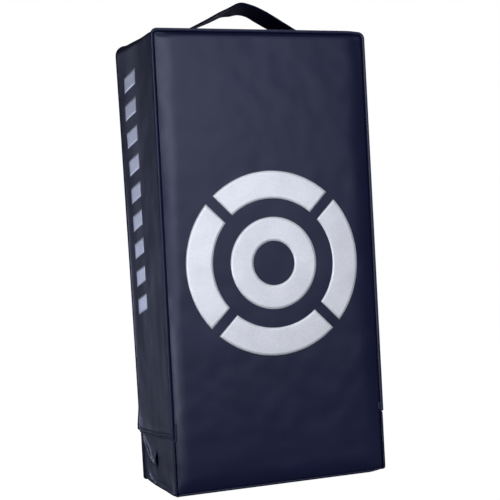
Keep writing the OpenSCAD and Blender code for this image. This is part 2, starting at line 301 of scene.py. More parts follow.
class Nodes:
    """Builds a node material around one Principled shader, with coordinates in metres."""

    def __init__(self, name, coordinates="Object"):
        self.material = bpy.data.materials.new(name)
        self.material.use_nodes = True
        self.tree = self.material.node_tree
        self.tree.nodes.clear()
        self.output = self.tree.nodes.new("ShaderNodeOutputMaterial")
        self.shader = self.tree.nodes.new("ShaderNodeBsdfPrincipled")
        self.tree.links.new(self.shader.outputs[0], self.output.inputs["Surface"])
        if coordinates == "UV":
            place = self.tree.nodes.new("ShaderNodeUVMap")
            place.uv_map = "cloth"
        else:
            place = self.tree.nodes.new("ShaderNodeTexCoord")
        self.where = place.outputs[coordinates]

    def put(self, socket, value):
        """Sets a socket to a number or a colour, or links it to another node's output."""
        if isinstance(value, (int, float)):
            socket.default_value = value
        elif isinstance(value, tuple):
            socket.default_value = (*value, 1)
        else:
            self.tree.links.new(value, socket)

    def make(self, kind, **inputs):
        """A new node with some of its inputs filled; an underscore in a name stands for a space."""
        node = self.tree.nodes.new(kind)
        for key, value in inputs.items():
            self.put(node.inputs[key.replace("_", " ")], value)
        return node

    def noise(self, scale, detail=3.0, rough=0.55, distortion=0.0):
        node = self.make("ShaderNodeTexNoise", Vector=self.where, Scale=scale, Detail=detail, Roughness=rough)
        node.inputs["Distortion"].default_value = distortion
        return node.outputs["Fac"]

    def cells(self, scale, feature="SMOOTH_F1", smoothness=0.6):
        node = self.make("ShaderNodeTexVoronoi", Scale=scale, Vector=self.where)
        node.feature = feature
        if feature == "SMOOTH_F1":
            node.inputs["Smoothness"].default_value = smoothness
        return node.outputs["Distance"]

    def axis(self, index):
        return self.make("ShaderNodeSeparateXYZ", Vector=self.where).outputs[index]

    def math(self, operation, a, b=None):
        node = self.tree.nodes.new("ShaderNodeMath")
        node.operation = operation
        self.put(node.inputs[0], a)
        if b is not None:
            self.put(node.inputs[1], b)
        return node.outputs[0]

    def ramp(self, factor, low, high, start=0.0, end=1.0):
        """A value that goes from low to high as factor goes from start to end."""
        limits = {"From_Min": start, "From_Max": end, "To_Min": low, "To_Max": high}
        return self.make("ShaderNodeMapRange", Value=factor, **limits).outputs[0]

    def mix(self, factor, a, b):
        """A colour between a and b."""
        node = self.tree.nodes.new("ShaderNodeMix")
        node.data_type = "RGBA"
        for index, value in ((0, factor), (6, a), (7, b)):
            self.put(node.inputs[index], value)
        return node.outputs[2]

    def relief(self, height, distance, strength=1.0, under=None):
        """Bump of a given depth in metres, on top of another bump if there is one."""
        node = self.make("ShaderNodeBump", Distance=distance, Strength=strength, Height=height)
        if under is not None:
            self.put(node.inputs["Normal"], under)
        self.set(Normal=node.outputs[0])
        return node.outputs[0]

    def set(self, **values):
        """Fills inputs of the material's shader."""
        for key, value in values.items():
            self.put(self.shader.inputs[key.replace("_", " ")], value)


def vinyl(name, dark, light, roughness=0.34):
    """Embossed polyurethane-coated cloth: a fine pebble grain with a soft shine."""
    n = Nodes(name)
    broad = n.noise(9, 2)
    fine = n.noise(160, 4)
    n.set(Base_Color=n.mix(n.ramp(broad, 0, 1, 0.3, 0.7), dark, light))
    n.set(Roughness=n.ramp(fine, roughness - 0.01, roughness + 0.03, 0.3, 0.7), IOR=1.5)
    n.set(Coat_Weight=0.06, Coat_Roughness=0.26, Specular_Tint=(0.84, 0.88, 1.0), Specular_IOR_Level=0.33)
    grain = n.cells(950, smoothness=0.8)
    first = n.relief(grain, 0.0001, 0.45)
    second = n.relief(n.noise(2600, 2), 0.00003, 0.5, first)
    n.relief(n.noise(20, 1), 0.005, 0.5, second)
    return n.material


def weave(name, dark, light, rib=1.6, thread=0.9, roughness=0.75, depth=0.00035):
    """Flat webbing: ribs along its length crossed by threads, in a two-by-two twill."""
    n = Nodes(name, "UV")
    along, across = n.axis(0), n.axis(1)
    turns = 2 * math.pi
    rib_wave = n.math("SINE", n.math("MULTIPLY", across, turns / (rib * MM)))
    threads = n.math("MULTIPLY", along, turns / (thread * MM))
    thread_wave = n.math("SINE", n.math("ADD", threads, n.math("MULTIPLY", rib_wave, 1.4)))
    height = n.math("ADD", n.math("MULTIPLY", rib_wave, 0.5), n.math("MULTIPLY", thread_wave, 0.5))
    fuzz = n.noise(2500, 3)
    # Painted shade: the colour is darker in the weave's low places and lighter on its raised ribs and
    # threads, with random fibre tone on top.
    tone = n.math("ADD", n.ramp(height, 0.15, 0.75, -1, 1), n.ramp(fuzz, -0.25, 0.25))
    n.set(Base_Color=n.mix(tone, dark, light))
    n.set(Roughness=roughness, IOR=1.4, Specular_IOR_Level=0.1)
    first = n.relief(height, depth, 0.8)
    n.relief(fuzz, 0.00008, 0.6, first)
    return n.material


def ink(name, dark, light):
    """Metallic silver screen print, slightly mottled, that takes the grain of the vinyl under it."""
    n = Nodes(name)
    speck = n.noise(420, 5, 0.7)
    cloud = n.noise(30, 3)
    tone = n.math("ADD", n.ramp(speck, 0.0, 0.75, 0.3, 0.7), n.ramp(cloud, -0.25, 0.3, 0.3, 0.7))
    n.set(Base_Color=n.mix(tone, dark, light))
    n.set(Metallic=0.45, Roughness=n.ramp(speck, 0.38, 0.54, 0.3, 0.7), IOR=1.5)
    first = n.relief(n.cells(950, smoothness=0.8), 0.00012, 0.5)
    n.relief(speck, 0.00004, 0.5, first)
    return n.material


def foam(name, dark, light, pore):
    """Cut foam, with open pores."""
    n = Nodes(name)
    pores = n.cells(pore, "F1")
    # Painted shade: each pore is darker towards its hollow middle.
    n.set(Base_Color=n.mix(n.ramp(pores, 0, 1, 0.1, 0.6), dark, light))
    n.set(Roughness=0.92, IOR=1.4, Sheen_Weight=0.1)
    n.relief(pores, 0.0008, 0.7)
    return n.material


def metal(name, colour, roughness):
    """Bare metal with fine scratches."""
    n = Nodes(name)
    marks = n.noise(600, 4, 0.65)
    n.set(Base_Color=n.mix(n.ramp(marks, 0, 1, 0.35, 0.65), tuple(0.85 * c for c in colour), colour))
    n.set(Metallic=1.0, Roughness=n.ramp(marks, roughness - 0.06, roughness + 0.1, 0.3, 0.7))
    n.relief(marks, 0.00004, 0.4)
    return n.material


def thread_material(name, dark, light):
    """Twisted sewing thread."""
    n = Nodes(name)
    twist = n.noise(3000, 2)
    n.set(Base_Color=n.mix(n.ramp(twist, 0, 1, 0.3, 0.7), dark, light))
    n.set(Roughness=0.6, Sheen_Weight=0.2, Sheen_Roughness=0.4)
    n.relief(twist, 0.00008, 0.6)
    return n.material


def pile(name, dark, light, hooks):
    """Hook tape, with rows of small hooks, or loop tape, with a tangled pile."""
    n = Nodes(name, "UV")
    if hooks:
        height = n.cells(620, "F1")
        # Painted shade: the tape is darker in the low places between the hooks and lighter on the raised
        # hooks.
        n.set(Base_Color=n.mix(n.ramp(height, 1, 0, 0.1, 0.5), dark, light))
        n.set(Roughness=0.5)
        n.relief(height, 0.0008, -1.0)
    else:
        tangle = n.noise(900, 6, 0.75, distortion=1.5)
        n.set(Base_Color=n.mix(n.ramp(tangle, 0, 1, 0.35, 0.65), dark, light))
        n.set(Roughness=0.95, Sheen_Weight=0.5, Sheen_Roughness=0.5)
        n.relief(tangle, 0.0008, 0.8)
    return n.material


NAVY = vinyl("navy_vinyl", (0.0068, 0.0086, 0.0290), (0.0090, 0.0112, 0.0365))
NAVY_BAND = vinyl("navy_vinyl_band", (0.0071, 0.0088, 0.0282), (0.0088, 0.0109, 0.0340))
BLACK_WEB = weave("black_webbing", (0.0013, 0.0023, 0.0165), (0.0044, 0.0072, 0.0440))
ZIP_CLOTH = weave("zip_tape_cloth", (0.004, 0.004, 0.006), (0.012, 0.012, 0.016), 1.0, 0.6)
SILVER = ink("silver_print", (0.75, 0.75, 0.74), (0.94, 0.94, 0.92))
# Painted shade: a darker, bluer copy of the silver print, for the bars on the dimmer left side face.
SILVER_SHADED_SIDE = ink("silver_print_shaded_side", (0.60, 0.62, 0.67), (0.84, 0.86, 0.91))
FIRM_FOAM = foam("firm_foam", (0.48, 0.46, 0.40), (0.68, 0.66, 0.58), 600)
SOFT_FOAM = foam("soft_foam", (0.36, 0.35, 0.33), (0.50, 0.49, 0.46), 380)
GRIP_FOAM = foam("grip_foam", (0.010, 0.010, 0.011), (0.035, 0.036, 0.040), 900)
NICKEL = metal("nickel_wire", (0.56, 0.56, 0.57), 0.24)
ZINC = metal("zinc_casting", (0.36, 0.37, 0.39), 0.38)
NAVY_THREAD = thread_material("navy_thread", (0.010, 0.012, 0.022), (0.028, 0.031, 0.048))
BLACK_THREAD = thread_material("black_thread", (0.006, 0.006, 0.008), (0.030, 0.031, 0.036))
LOOP_PILE = pile("loop_pile", (0.003, 0.003, 0.005), (0.020, 0.021, 0.028), False)
HOOK_PILE = pile("hook_pile", (0.004, 0.004, 0.006), (0.022, 0.023, 0.030), True)


# ---------------------------------------------------------------- stitches

def stitch_row(points, normals, pitch=3.4, length=2.5, radius=0.33, sink=0.1):
    """Short threads laid end to end along a line on a surface: a list of (points, faces)."""
    s = lengths(points)
    count = int(s[-1] // pitch)
    if count < 1:
        return []
    made = []
    start = (s[-1] - count * pitch) / 2
    for k in range(count):
        a = start + k * pitch + (pitch - length) / 2
        p, q = (np.array([np.interp(x, s, points[:, c]) for c in range(3)]) for x in (a, a + length))
        up = np.array([np.interp(a + length / 2, s, normals[:, c]) for c in range(3)])
        made.append(capsule(p + up * (radius - sink), q + up * (radius - sink), up, radius))
    return made


def capsule(p, q, up, radius, sides=6):
    """A thread from p to q whose ends dip."""
    along = (q - p) / max(np.linalg.norm(q - p), 1e-9)
    side = np.cross(along, up)
    side /= max(np.linalg.norm(side), 1e-9)
    high = np.cross(side, along)
    verts = [p - high * radius * 0.8]
    for t, scale, dip in ((0.1, 0.75, 0.45), (0.5, 1.0, 0.0), (0.9, 0.75, 0.45)):
        centre = p + (q - p) * t - high * radius * dip
        for k in range(sides):
            a = 2 * math.pi * k / sides
            verts.append(centre + radius * scale * (math.cos(a) * side + math.sin(a) * high))
    verts.append(q - high * radius * 0.8)
    faces = [(0, 1 + (k + 1) % sides, 1 + k) for k in range(sides)]
    for ring in range(2):
        base = 1 + ring * sides
        for k in range(sides):
            m = (k + 1) % sides
            faces.append((base + k, base + m, base + sides + m, base + sides + k))
    last, base = 1 + 3 * sides, 1 + 2 * sides
    faces += [(last, base + k, base + (k + 1) % sides) for k in range(sides)]
    return np.array(verts), faces


def thread_piece(name, stitches, material, body):
    """One piece made of many stitches."""
    verts, faces, base = [], [], 0
    for points, quads in stitches:
        verts.append(points)
        faces += [tuple(v + base for v in face) for face in quads]
        base += len(points)
    obj = new_object(name, np.concatenate(verts), faces, material)
    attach(obj, body)


# ---------------------------------------------------------------- face panels

def graded(half, first=1.3, ratio=1.16, most=5.0):
    """Coordinates from -half to half that are closer together at both ends."""
    steps = [first]
    while sum(steps) < half:
        steps.append(min(most, steps[-1] * ratio))
    at = np.concatenate([[0], np.cumsum(steps)])
    at *= half / at[-1]
    return np.concatenate([-half + at[:-1], (half - at)[::-1]])


PANEL_BOTTOM = 0.4
DOME = 1.6
PANEL_DEPTH = FACE_Y - SEAM_Y
SEAM_GAP = 0.2


def crown(share, fullness=2.3):
    """Height of the stuffed panel at a share of its rim's width: sloping from the seam, then flat."""
    return 1 - (1 - np.clip(share, 0, 1)) ** fullness


def panel_depth(x, z, half, middle, half_h):
    """How far a face panel stands out of its seam plane, and how far each point is from its seam.

    The sloping rim is narrow at the top, wider at the bottom and on the left, and widest on the right.
    """
    dx, dz = half - np.abs(x), half_h - np.abs(z - middle)
    inset, cornered = inside_edge(x, z - middle, half, half_h, PANEL_R)
    corner = np.sqrt(1 - np.clip(cornered / PANEL_R, 0, 1) ** 6)
    left = crown(dx / (25 + 6 * smooth_step(z, 0, TOP_Z)), 2.3 - 0.7 * smooth_step(z, 100, 500))
    right = crown(dx / 44, 3.4)
    sides = np.where(x < 0, left, right)
    ends = np.where(z < middle, crown(dz / 24), crown(dz / 7, 1.4))
    dome = DOME * (1 - (x / half) ** 2) * (1 - ((z - middle) / half_h) ** 2)
    return PANEL_DEPTH * sides * ends * corner + dome, inset


def panel_sheet(side):
    """The grid of a face panel; side is -1 for the strike face and 1 for the back."""
    half = PANEL_HALF - 0.1
    middle, half_h = (PANEL_TOP + PANEL_BOTTOM) / 2, (PANEL_TOP - PANEL_BOTTOM) / 2
    x, up = np.meshgrid(graded(half), graded(half_h), indexing="xy")
    x, up = round_corners(x, up, half, half_h, PANEL_R)
    z = middle + up
    depth, inset = panel_depth(x, z, half, middle, half_h)
    if side < 0:
        return stuffed(np.stack([x, -SEAM_Y - SEAM_GAP - depth, z], -1), deeper=False), inset
    flat = (PANEL_DEPTH - EAR_BACK) / PANEL_DEPTH
    grid = stuffed(np.stack([x, SEAM_Y + EAR_BACK + SEAM_GAP + flat * depth, z], -1), deeper=False)
    return grid[:, ::-1], inset[:, ::-1]


def face_panel(name, node, side):
    """The strike face or the back panel: a crowned skin with a little slack."""
    grid, inset = panel_sheet(side)
    pins = np.where(inset < 0.5, 1.0, 0.10 + 0.22 * smooth_step(inset, 20, 60))
    growth = 1 - smooth_step(inset, 12, 55) * 0.85
    outer = slacken(grid, pins, growth, most=0.018, bending=0.9, cap=2.2)
    inner = outer.copy()
    inner[..., 1] -= side * SKIN
    centre_z = PANEL_TOP / 2
    inner[..., 0] *= 1 - SKIN / PANEL_HALF
    inner[..., 2] = centre_z + (inner[..., 2] - centre_z) * (1 - SKIN / centre_z)
    obj = shell(name, outer, inner, NAVY)
    stands_for(obj, ROOT, "cover_vinyl", node, fill=0.95)
    return obj


# ---------------------------------------------------------------- strips round the sides

EAR_TOP = 7.8
EAR_LOW = 0.6
EAR_BACK = 3.0
SAG = 1.8
BELLY = 2.6
RIGHT_SWELL = 1.4
FRONT_DROP = 1.2
CORNER_DROP = 1.6
CORNER_RISE = 2.6


def stuffed(grid, deeper=True):
    """How the stuffing bends the cover away from a plain box.

    It is wider behind than in front, most of all at its top, and swells a little on the right. Its front rim
    is lower at the top, and its right corners are drawn in.
    """
    out = grid.copy()
    y, z = grid[..., 1], grid[..., 2]
    ear = EAR_LOW + (EAR_TOP - EAR_LOW) * np.clip(z / TOP_Z, 0, 1) ** 1.3
    towards_back = smooth_step(y, -25, LIP_Y)
    out[..., 0] *= 1 + towards_back * ear / HALF_W
    out[..., 0] += RIGHT_SWELL * smooth_step(out[..., 0], 0, HALF_W) * (1 - towards_back)
    at_corner = smooth_step(out[..., 0], 126, 152)
    near_top = smooth_step(z, 560, 598)
    out[..., 2] -= FRONT_DROP * smooth_step(-y, 40, 68) * near_top
    out[..., 2] -= CORNER_DROP * at_corner * near_top
    out[..., 2] += CORNER_RISE * at_corner * (1 - smooth_step(z, -2, 30))
    if deeper:
        out[..., 1] += EAR_BACK * smooth_step(y, 25, LIP_Y)
    return out


class Route:
    """A U-shaped line in the XZ plane: up one side, across, and down the other, with round corners."""

    def __init__(self, half, open_z, far_z, radius):
        self.half, self.open_z, self.far_z, self.radius = half, open_z, far_z, radius
        self.sign = 1 if far_z > open_z else -1
        side, bend = abs(far_z - open_z) - radius, math.pi * radius / 2
        self.marks = np.cumsum([0, side, bend, 2 * (half - radius), bend, side])
        self.length = self.marks[-1]

    def at(self, s):
        """Points and outward normals in the XZ plane at distances s along the line."""
        s = np.asarray(s, float)
        x, z, nx, nz = (np.zeros_like(s) for _ in range(4))
        half, radius, sign = self.half, self.radius, self.sign
        _, m1, m2, m3, m4, _ = self.marks
        corner_z = self.far_z - sign * radius
        first, last = s <= m1, s >= m4
        turn1, middle, turn2 = (s > m1) & (s < m2), (s >= m2) & (s <= m3), (s > m3) & (s < m4)
        x[first], nx[first] = -half, -1
        z[first] = self.open_z + sign * s[first]
        x[last], nx[last] = half, 1
        z[last] = self.open_z + sign * (self.length - s[last])
        turns = ((turn1, m1, radius - half, math.pi), (turn2, m3, half - radius, math.pi / 2))
        for mask, start, centre, from_angle in turns:
            a = from_angle - (s[mask] - start) / radius
            nx[mask], nz[mask] = np.cos(a), sign * np.sin(a)
            x[mask] = centre + radius * nx[mask]
            z[mask] = corner_z + radius * nz[mask]
        x[middle] = radius - half + (s[middle] - m2)
        z[middle], nz[middle] = self.far_z, sign
        return x, z, nx, nz

    def stations(self, step, fine=()):
        """Distances along the line, dense in its corners, with extra ones near both open ends."""
        _, m1, m2, m3, m4, end = self.marks
        fine = np.asarray(fine, float)
        begin = fine[-1] if len(fine) else 0
        count = int((m1 - begin) / step) + 2
        near = np.array([3.0, 7.0])
        corner_points = 9
        parts = [
            fine, np.linspace(begin, m1, count), m1 - near, np.linspace(m1, m2, corner_points), m2 + near,
            np.linspace(m2, m3, int((m3 - m2) / step) + 2), m3 - near, np.linspace(m3, m4, corner_points),
            m4 + near, np.linspace(m4, end - begin, count), end - fine,
        ]
        return np.unique(np.round(np.concatenate(parts), 3))


def mixed(routes, s, y):
    """Points and normals that change from one route at the front to another at the back."""
    front, back = routes
    share = smooth_step(y, -LIP_Y, LIP_Y)[None, :]
    there = np.interp(s, front.marks, back.marks)
    return [a[:, None] * (1 - share) + b[:, None] * share for a, b in zip(front.at(s), back.at(there))]


def carried(routes, s, profile, lift=0.0):
    """A grid that carries a profile, rows of (y, offset), along a pair of routes; lift adds to them."""
    x, z, nx, nz = mixed(routes, s, profile[:, 0])
    off = profile[None, :, 1] + lift
    y = np.broadcast_to(profile[None, :, 0], off.shape)
    return np.stack([x + nx * off, y, z + nz * off], -1)


def outward(grid, x, z):
    """Normals of a grid of points, on the side away from the middle of the pad."""
    normals = grid_normals(grid)
    facing = normals[..., 0] * np.sign(x) * (np.abs(x) > 0.9 * PANEL_HALF)
    flat = np.abs(facing) < 0.3
    facing = np.where(flat, normals[..., 2] * np.sign(z - TOP_Z / 2), facing)
    return normals * np.sign(facing)[..., None]


# The turned seam along a lip of the gusset, as (distance from the lip, offset) rows from the seam inwards
SEAM_ROLL = [(2.4, -2.35), (1.2, -2.35), (0.5, -1.8), (0.0, -0.6), (-0.2, 0.6), (0.0, 1.4), (0.5, 1.9),
             (1.2, 1.95), (1.8, 1.6), (2.4, 1.0), (3.2, 0.62), (4.4, 0.5), (6.5, 0.36), (9.0, 0.2),
             (12.0, 0.08), (16.0, 0)]

# Distances from an open end where the gusset has rows of points, for its fold and its two rows of stitches
HEM_STOPS = [0, 0.2, 0.55, 1.0, 1.6, 2.1, 2.5, 2.8, 3.1, 3.5, 4.1, 5.0, 5.8, 6.3, 6.6, 6.9, 7.2, 7.7, 8.6,
             10.2, 12.0, 14.0, 15.2, 16.2, 18.5, 21.5]
HEM_ROWS = (2.8, 6.9)


def gusset_profiles():
    """The gusset's section, outside and inside, as rows of (y, offset)."""
    front = [(-LIP_Y + d, off) for d, off in SEAM_ROLL]
    back = [(LIP_Y - d, off) for d, off in SEAM_ROLL[::-1]]
    middle = [(y, 0.0) for y in np.arange(-50, 51, 5.0)]
    outer = np.array(front + middle + back)
    near = LIP_Y - np.abs(outer[:, 0])
    inner = outer.copy()
    inner[:, 1] = outer[:, 1] - SKIN * smooth_step(near, 2.4, 6.0)
    tucked = near < 3.2
    inner[tucked, 1] = -2.5
    inner[tucked, 0] = np.sign(outer[tucked, 0]) * (LIP_Y - 3.0)
    return outer, inner


def hem_lift(end, y):
    """Offset of the outer face near an open end: a rounded fold, two stitched grooves, a slight flare."""
    near_lip = smooth_step(LIP_Y - np.abs(y), 3, 8)
    fold = -1.2 * (1 - np.sqrt(np.clip(1 - (1 - np.clip(end / 1.3, 0, 1)) ** 2, 0, 1)))
    grooves = sum(-0.55 * bump(end, row, 0.62) for row in HEM_ROWS) * near_lip
    puffed = 0.3 * (bump(end, 1.2, 0.9) + bump(end, 4.8, 1.4) + bump(end, 9.5, 2.0)) * near_lip
    flare = (1 - smooth_step(end, 2, 34)) * 2.9 * smooth_step(y, 20, 68)
    return fold + grooves + puffed + flare


def hem_drop(x, y, end):
    """The hem is sewn askew: low on the left, lower still towards the back, with its last corner up."""
    left = -5.0 - 5.5 * smooth_step(y, -60, 20) - 0.8 * smooth_step(y, 20, 50) + 5.5 * smooth_step(y, 60, 73)
    right = 4.6 - 2.5 * smooth_step(y, -40, 60) + 3.0 * smooth_step(y, 62, 73)
    wander = 0.25 * ripple((y, 37, 1.0, 1.0), (y, 19, 0.2, 0.5))
    return (np.where(x < 0, left, right) + wander) * (1 - smooth_step(end, 12, 80))


def gusset_lift(x, y, z, nx, nz):
    """How the stuffing fills the gusset between its seams."""
    belly = 1 - np.clip(np.abs(y) / 62, 0, 1) ** 2.2
    sides = 1.2 * smooth_step(z, 120, 260) * (1 - smooth_step(z, 500, TOP_Z - 20)) * np.abs(nx)
    behind = 1.5 * bump(z, 490, 60) * smooth_step(y, 0, 45) * (1 - smooth_step(y, 60, 70)) * np.abs(nx)
    top = 0.8 * np.clip(nz, 0, 1) * (1 - (x / HALF_W) ** 2)
    return belly * (sides + top) + behind


def main_gusset():
    """The strip up the left side, over the top and down the right side, with the stitches of its hems."""
    routes = Route(HALF_W, HEM_Z, TOP_Z, FRONT_R), Route(HALF_W, HEM_Z, TOP_Z, BACK_R)
    s = routes[0].stations(6.0, HEM_STOPS)
    outer_profile, inner_profile = gusset_profiles()
    y = outer_profile[:, 0][None, :]
    end = np.minimum(s, routes[0].length - s)[:, None]
    x, z, nx, nz = mixed(routes, s, outer_profile[:, 0])
    lift = gusset_lift(x, y, z, nx, nz) + hem_lift(end, y)
    base = carried(routes, s, outer_profile, lift)
    near = LIP_Y - np.abs(y) + 0 * s[:, None]
    held = np.where(near < 4.0, 1.0, 0.12 + 0.2 * smooth_step(near, 12, 40))
    growth = (1 - smooth_step(near, 10, 45) * 0.8) * smooth_step(end, 14, 40)
    pins = np.maximum(held, 1 - smooth_step(end, 17, 30))
    outer = slacken(base, pins, growth, most=0.02, bending=0.8, cap=2.0)
    folded = 1 - smooth_step(end, HEM_H - 1, HEM_H + 0.5)
    inner_lift = np.minimum(lift, 3) - folded * SKIN * (near > 5)
    inner = carried(routes, s, inner_profile, inner_lift) + (outer - base)
    drop = hem_drop(x, y, end)
    outer[..., 2] += drop
    inner[..., 2] += drop
    outer, inner = stuffed(outer), stuffed(inner)
    obj = shell("main_gusset_cover", outer, inner, NAVY)
    stands_for(obj, ROOT, "cover_vinyl", "main_gusset", fill=0.9)
    normals = outward(outer, x, z)
    stitches = []
    for row in HEM_ROWS:
        for at in (row, routes[0].length - row):
            k = int(np.argmin(np.abs(s - at)))
            stitches += stitch_row(outer[k, 12:-12], normals[k, 12:-12], sink=0.2)
    thread_piece("hem_stitches", stitches, NAVY_THREAD, ROOT)
    return obj


# The same seam on the bottom band, which stands out as far as the gusset's
LOW_ROLL = [(2.1, 0.05), (1.0, 0.0), (0.3, 0.5), (-0.1, 1.4), (0.0, 2.4), (0.4, 3.1), (1.0, 3.3), (1.7, 2.8),
            (2.3, 1.7), (2.9, 0.6), (3.8, 0.05), (5.5, -0.1), (8.5, -0.05), (12.0, 0)]


def low_ridge(x, y, z, nx, nz):
    """The bottom sags between its seams, and the turned seam is flat under the hem and under the pad."""
    on_ridge = 1 - smooth_step(LIP_Y - np.abs(y), 2.0, 4.0)
    left_hem, right_hem = HEM_Z - 5 - 5 * smooth_step(y, -60, 20), HEM_Z + 5.4
    hem = np.where(x < 0, left_hem, right_hem)
    under_hem = smooth_step(z, hem - 1.5, hem + 1)
    on_floor = np.clip(-nz, 0, 1) ** 2
    sagging = BELLY * np.sqrt(np.clip(-nz, 0, 1)) * (1 - np.clip(np.abs(y) / LIP_Y, 0, 1) ** 3)
    return sagging - on_ridge * (3.3 * on_floor + 3.4 * under_hem * (1 - on_floor))


# Where the crest of the lap's fold lies at each height
FOLD_Z = [20, 25, 28, 32.5, 37, 41, 45, 49, 54, 61, 70, 92]
FOLD_Y = [10, 17, 25, 34, 40, 43, 47, 54, 61, 68, 74, 80]
FOLD_UP = [0, 0.4, 1.8, 2.8, 3.3, 3.6, 3.8, 3.9, 3.8, 3.3, 2.2, 0.8]


def lap_fold(x, y, z, nx):
    """The lap buckles in a fold from under the hem down to its free edge, which gapes below the fold."""
    lift = 0
    for side, strength, shift in ((-1, 1.0, 0), (1, 0.6, 6)):
        here = np.clip(side * nx, 0, 1)
        level = z - shift
        away = y - np.interp(level, FOLD_Z, FOLD_Y)
        behind = (1 - np.clip(away / 15, 0, 1)) ** 1.5
        before = 1 - smooth_step(-away, -3, 5)
        fold = np.interp(level, FOLD_Z, FOLD_UP) * np.where(away > 0, behind, before)
        gape = 3.6 * bump(level, 35, 8.5) * (1 - smooth_step(y - LAP_Y, 0, 13))
        belly = 2.0 * bump(y, 37, 26) * bump(level, 14, 20) * smooth_step(y, LAP_Y, LAP_Y + 20)
        low_fold = 1.5 * bump(y - (28 + 1.55 * level), 0, 5.5) * (1 - smooth_step(level, 10, 20))
        lift = lift + here * strength * (np.maximum(fold, gape) + belly + low_fold)
    return lift * smooth_step(LIP_Y - y, 0.5, 6) * smooth_step(z, -1, 5)


def front_flare(y, z, nx):
    """The front half of the band swells towards its bottom corners."""
    across = smooth_step(-y, 18, 56) * (1 - smooth_step(-y, 60, 68))
    return np.abs(nx) * 2.0 * across * (1 - smooth_step(z, 2, 26))


# The free edges of the band's two halves. The front half steps down under the lap, in rows of (y, offset),
# and the lap has a thin edge, in rows of (distance from that edge, offset).
FRONT_EDGE = [(9.0, 0.0), (10.5, 0.0), (11.6, 0.0), (12.2, -0.1), (12.6, -0.6), (13.0, -1.2), (13.4, -1.6),
              (15.0, -1.6), (18.5, -1.6), (22.0, -1.6)]
LAP_EDGE = [(-0.5, 0.05), (-0.42, 0.06), (-0.2, 0.07), (0.5, 0.06), (1.5, 0.03), (2.4, 0.0), (3.2, 0.0),
            (4.2, 0.0), (5.5, 0.0), (7.0, 0.0), (9.0, 0.0)]
SEAM_W = 3.4


def bottom_bands():
    """The band under the pad: its front half, and its back half that laps over the zip."""
    routes = Route(PANEL_HALF, BAND_TOP, -SAG, 3.0), Route(PANEL_HALF, BAND_TOP, -SAG, 4.5)
    s = routes[0].stations(2.4)

    seam = [(-LIP_Y + d, off) for d, off in LOW_ROLL]
    front = np.array(seam + [(v, 0.0) for v in np.arange(-55, 7, 4.0)] + FRONT_EDGE)
    y = front[:, 0][None, :]
    x, z, nx, nz = mixed(routes, s, front[:, 0])
    wobble = 0.2 * np.abs(nx) * ripple((z, 41, 0.4, 0.6), (z + y, 29, 2.0, 0.4))
    swell = front_flare(y, z, nx) + wobble * smooth_step(y, -60, -46) * (1 - smooth_step(y, 0, 9))
    ridge = low_ridge(x, y, z, nx, nz)
    outer = carried(routes, s, front, ridge + swell)
    thick = np.where(y < -LIP_Y + SEAM_W, 0.2, SKIN)
    tucked = front.copy()
    tucked[:3, 0] = -LIP_Y + 2.4
    raised = np.maximum(front[None, :, 1], 0)
    inner = carried(routes, s, tucked, np.minimum(ridge, 0) + swell - thick - raised)
    obj = shell("bottom_band_front", stuffed(outer), stuffed(inner), NAVY_BAND)
    stands_for(obj, ROOT, "band_vinyl", "zip_band_front")

    roll = [(LIP_Y - d, off) for d, off in LOW_ROLL[::-1]]
    edge = [(LAP_Y + d, off) for d, off in LAP_EDGE]
    lap = np.array(edge + [(v, 0.0) for v in np.arange(22.8, 58, 1.9)] + roll)
    y = lap[:, 0][None, :]
    x, z, nx, nz = mixed(routes, s, lap[:, 0])
    wobble = 0.2 * np.abs(nx) * ripple((z, 33, 0.4, 0.6), (z - y, 27, 2.6, 0.4))
    lift = lap_fold(x, y, z, nx) + wobble * (1 - smooth_step(y, 45, 60)) * smooth_step(y, 16, 25)
    ridge = low_ridge(x, y, z, nx, nz)
    outer = carried(routes, s, lap, lift + ridge)
    under = lap.copy()
    under[-3:, 0] = LIP_Y - 2.4
    folded = np.maximum(smooth_step(y, LAP_Y - 0.2, LAP_Y + 1.8), smooth_step(lift, 0.2, 1.4))
    thick = np.where(y > LIP_Y - SEAM_W, 0.2, 0.04 + (SKIN - 0.04) * folded)
    raised = np.where(y > 40, np.maximum(lap[None, :, 1], 0), 0)
    inner = carried(routes, s, under, lift + np.minimum(ridge, 0) - thick - raised)
    back = shell("bottom_band_lap", stuffed(outer), stuffed(inner), NAVY_BAND)
    stands_for(back, ROOT, "band_vinyl", "zip_band_back")


# ---------------------------------------------------------------- foam

FOAM_BEVEL = 5.0
FOAM_STEP = 18


def foam_block(name, node, material, slot, inset=2.6):
    """A foam block with soft edges, a little smaller than the space inside the cover."""
    low, high = box_mm(node)
    low, high = low + inset, high - inset
    mid, half = (low + high) / 2, (high - low) / 2
    counts = [max(4, int(2 * h / FOAM_STEP)) for h in half]
    verts, faces = [], []
    for axis in range(3):
        u, v = [k for k in range(3) if k != axis]
        for side in (-1, 1):
            a = np.linspace(-1, 1, counts[u])
            b = np.linspace(-1, 1, counts[v])
            grid = np.zeros((len(a), len(b), 3))
            grid[..., u], grid[..., v] = a[:, None] * half[u], b[None, :] * half[v]
            grid[..., axis] = side * half[axis]
            base = sum(len(q) for q in verts)
            verts.append(grid.reshape(-1, 3))
            faces.append(grid_faces(len(a), len(b), base=base))
    points = np.concatenate(verts)
    core = np.clip(points, -(half - FOAM_BEVEL), half - FOAM_BEVEL)
    away = points - core
    span = np.maximum(np.linalg.norm(away, axis=1, keepdims=True), 1e-9)
    points = mid + core + away / span * np.minimum(FOAM_BEVEL, span)
    obj = new_object(name, points, np.concatenate(faces), material)
    weld(obj)
    stands_for(obj, ROOT, slot, node, fill=1.0)


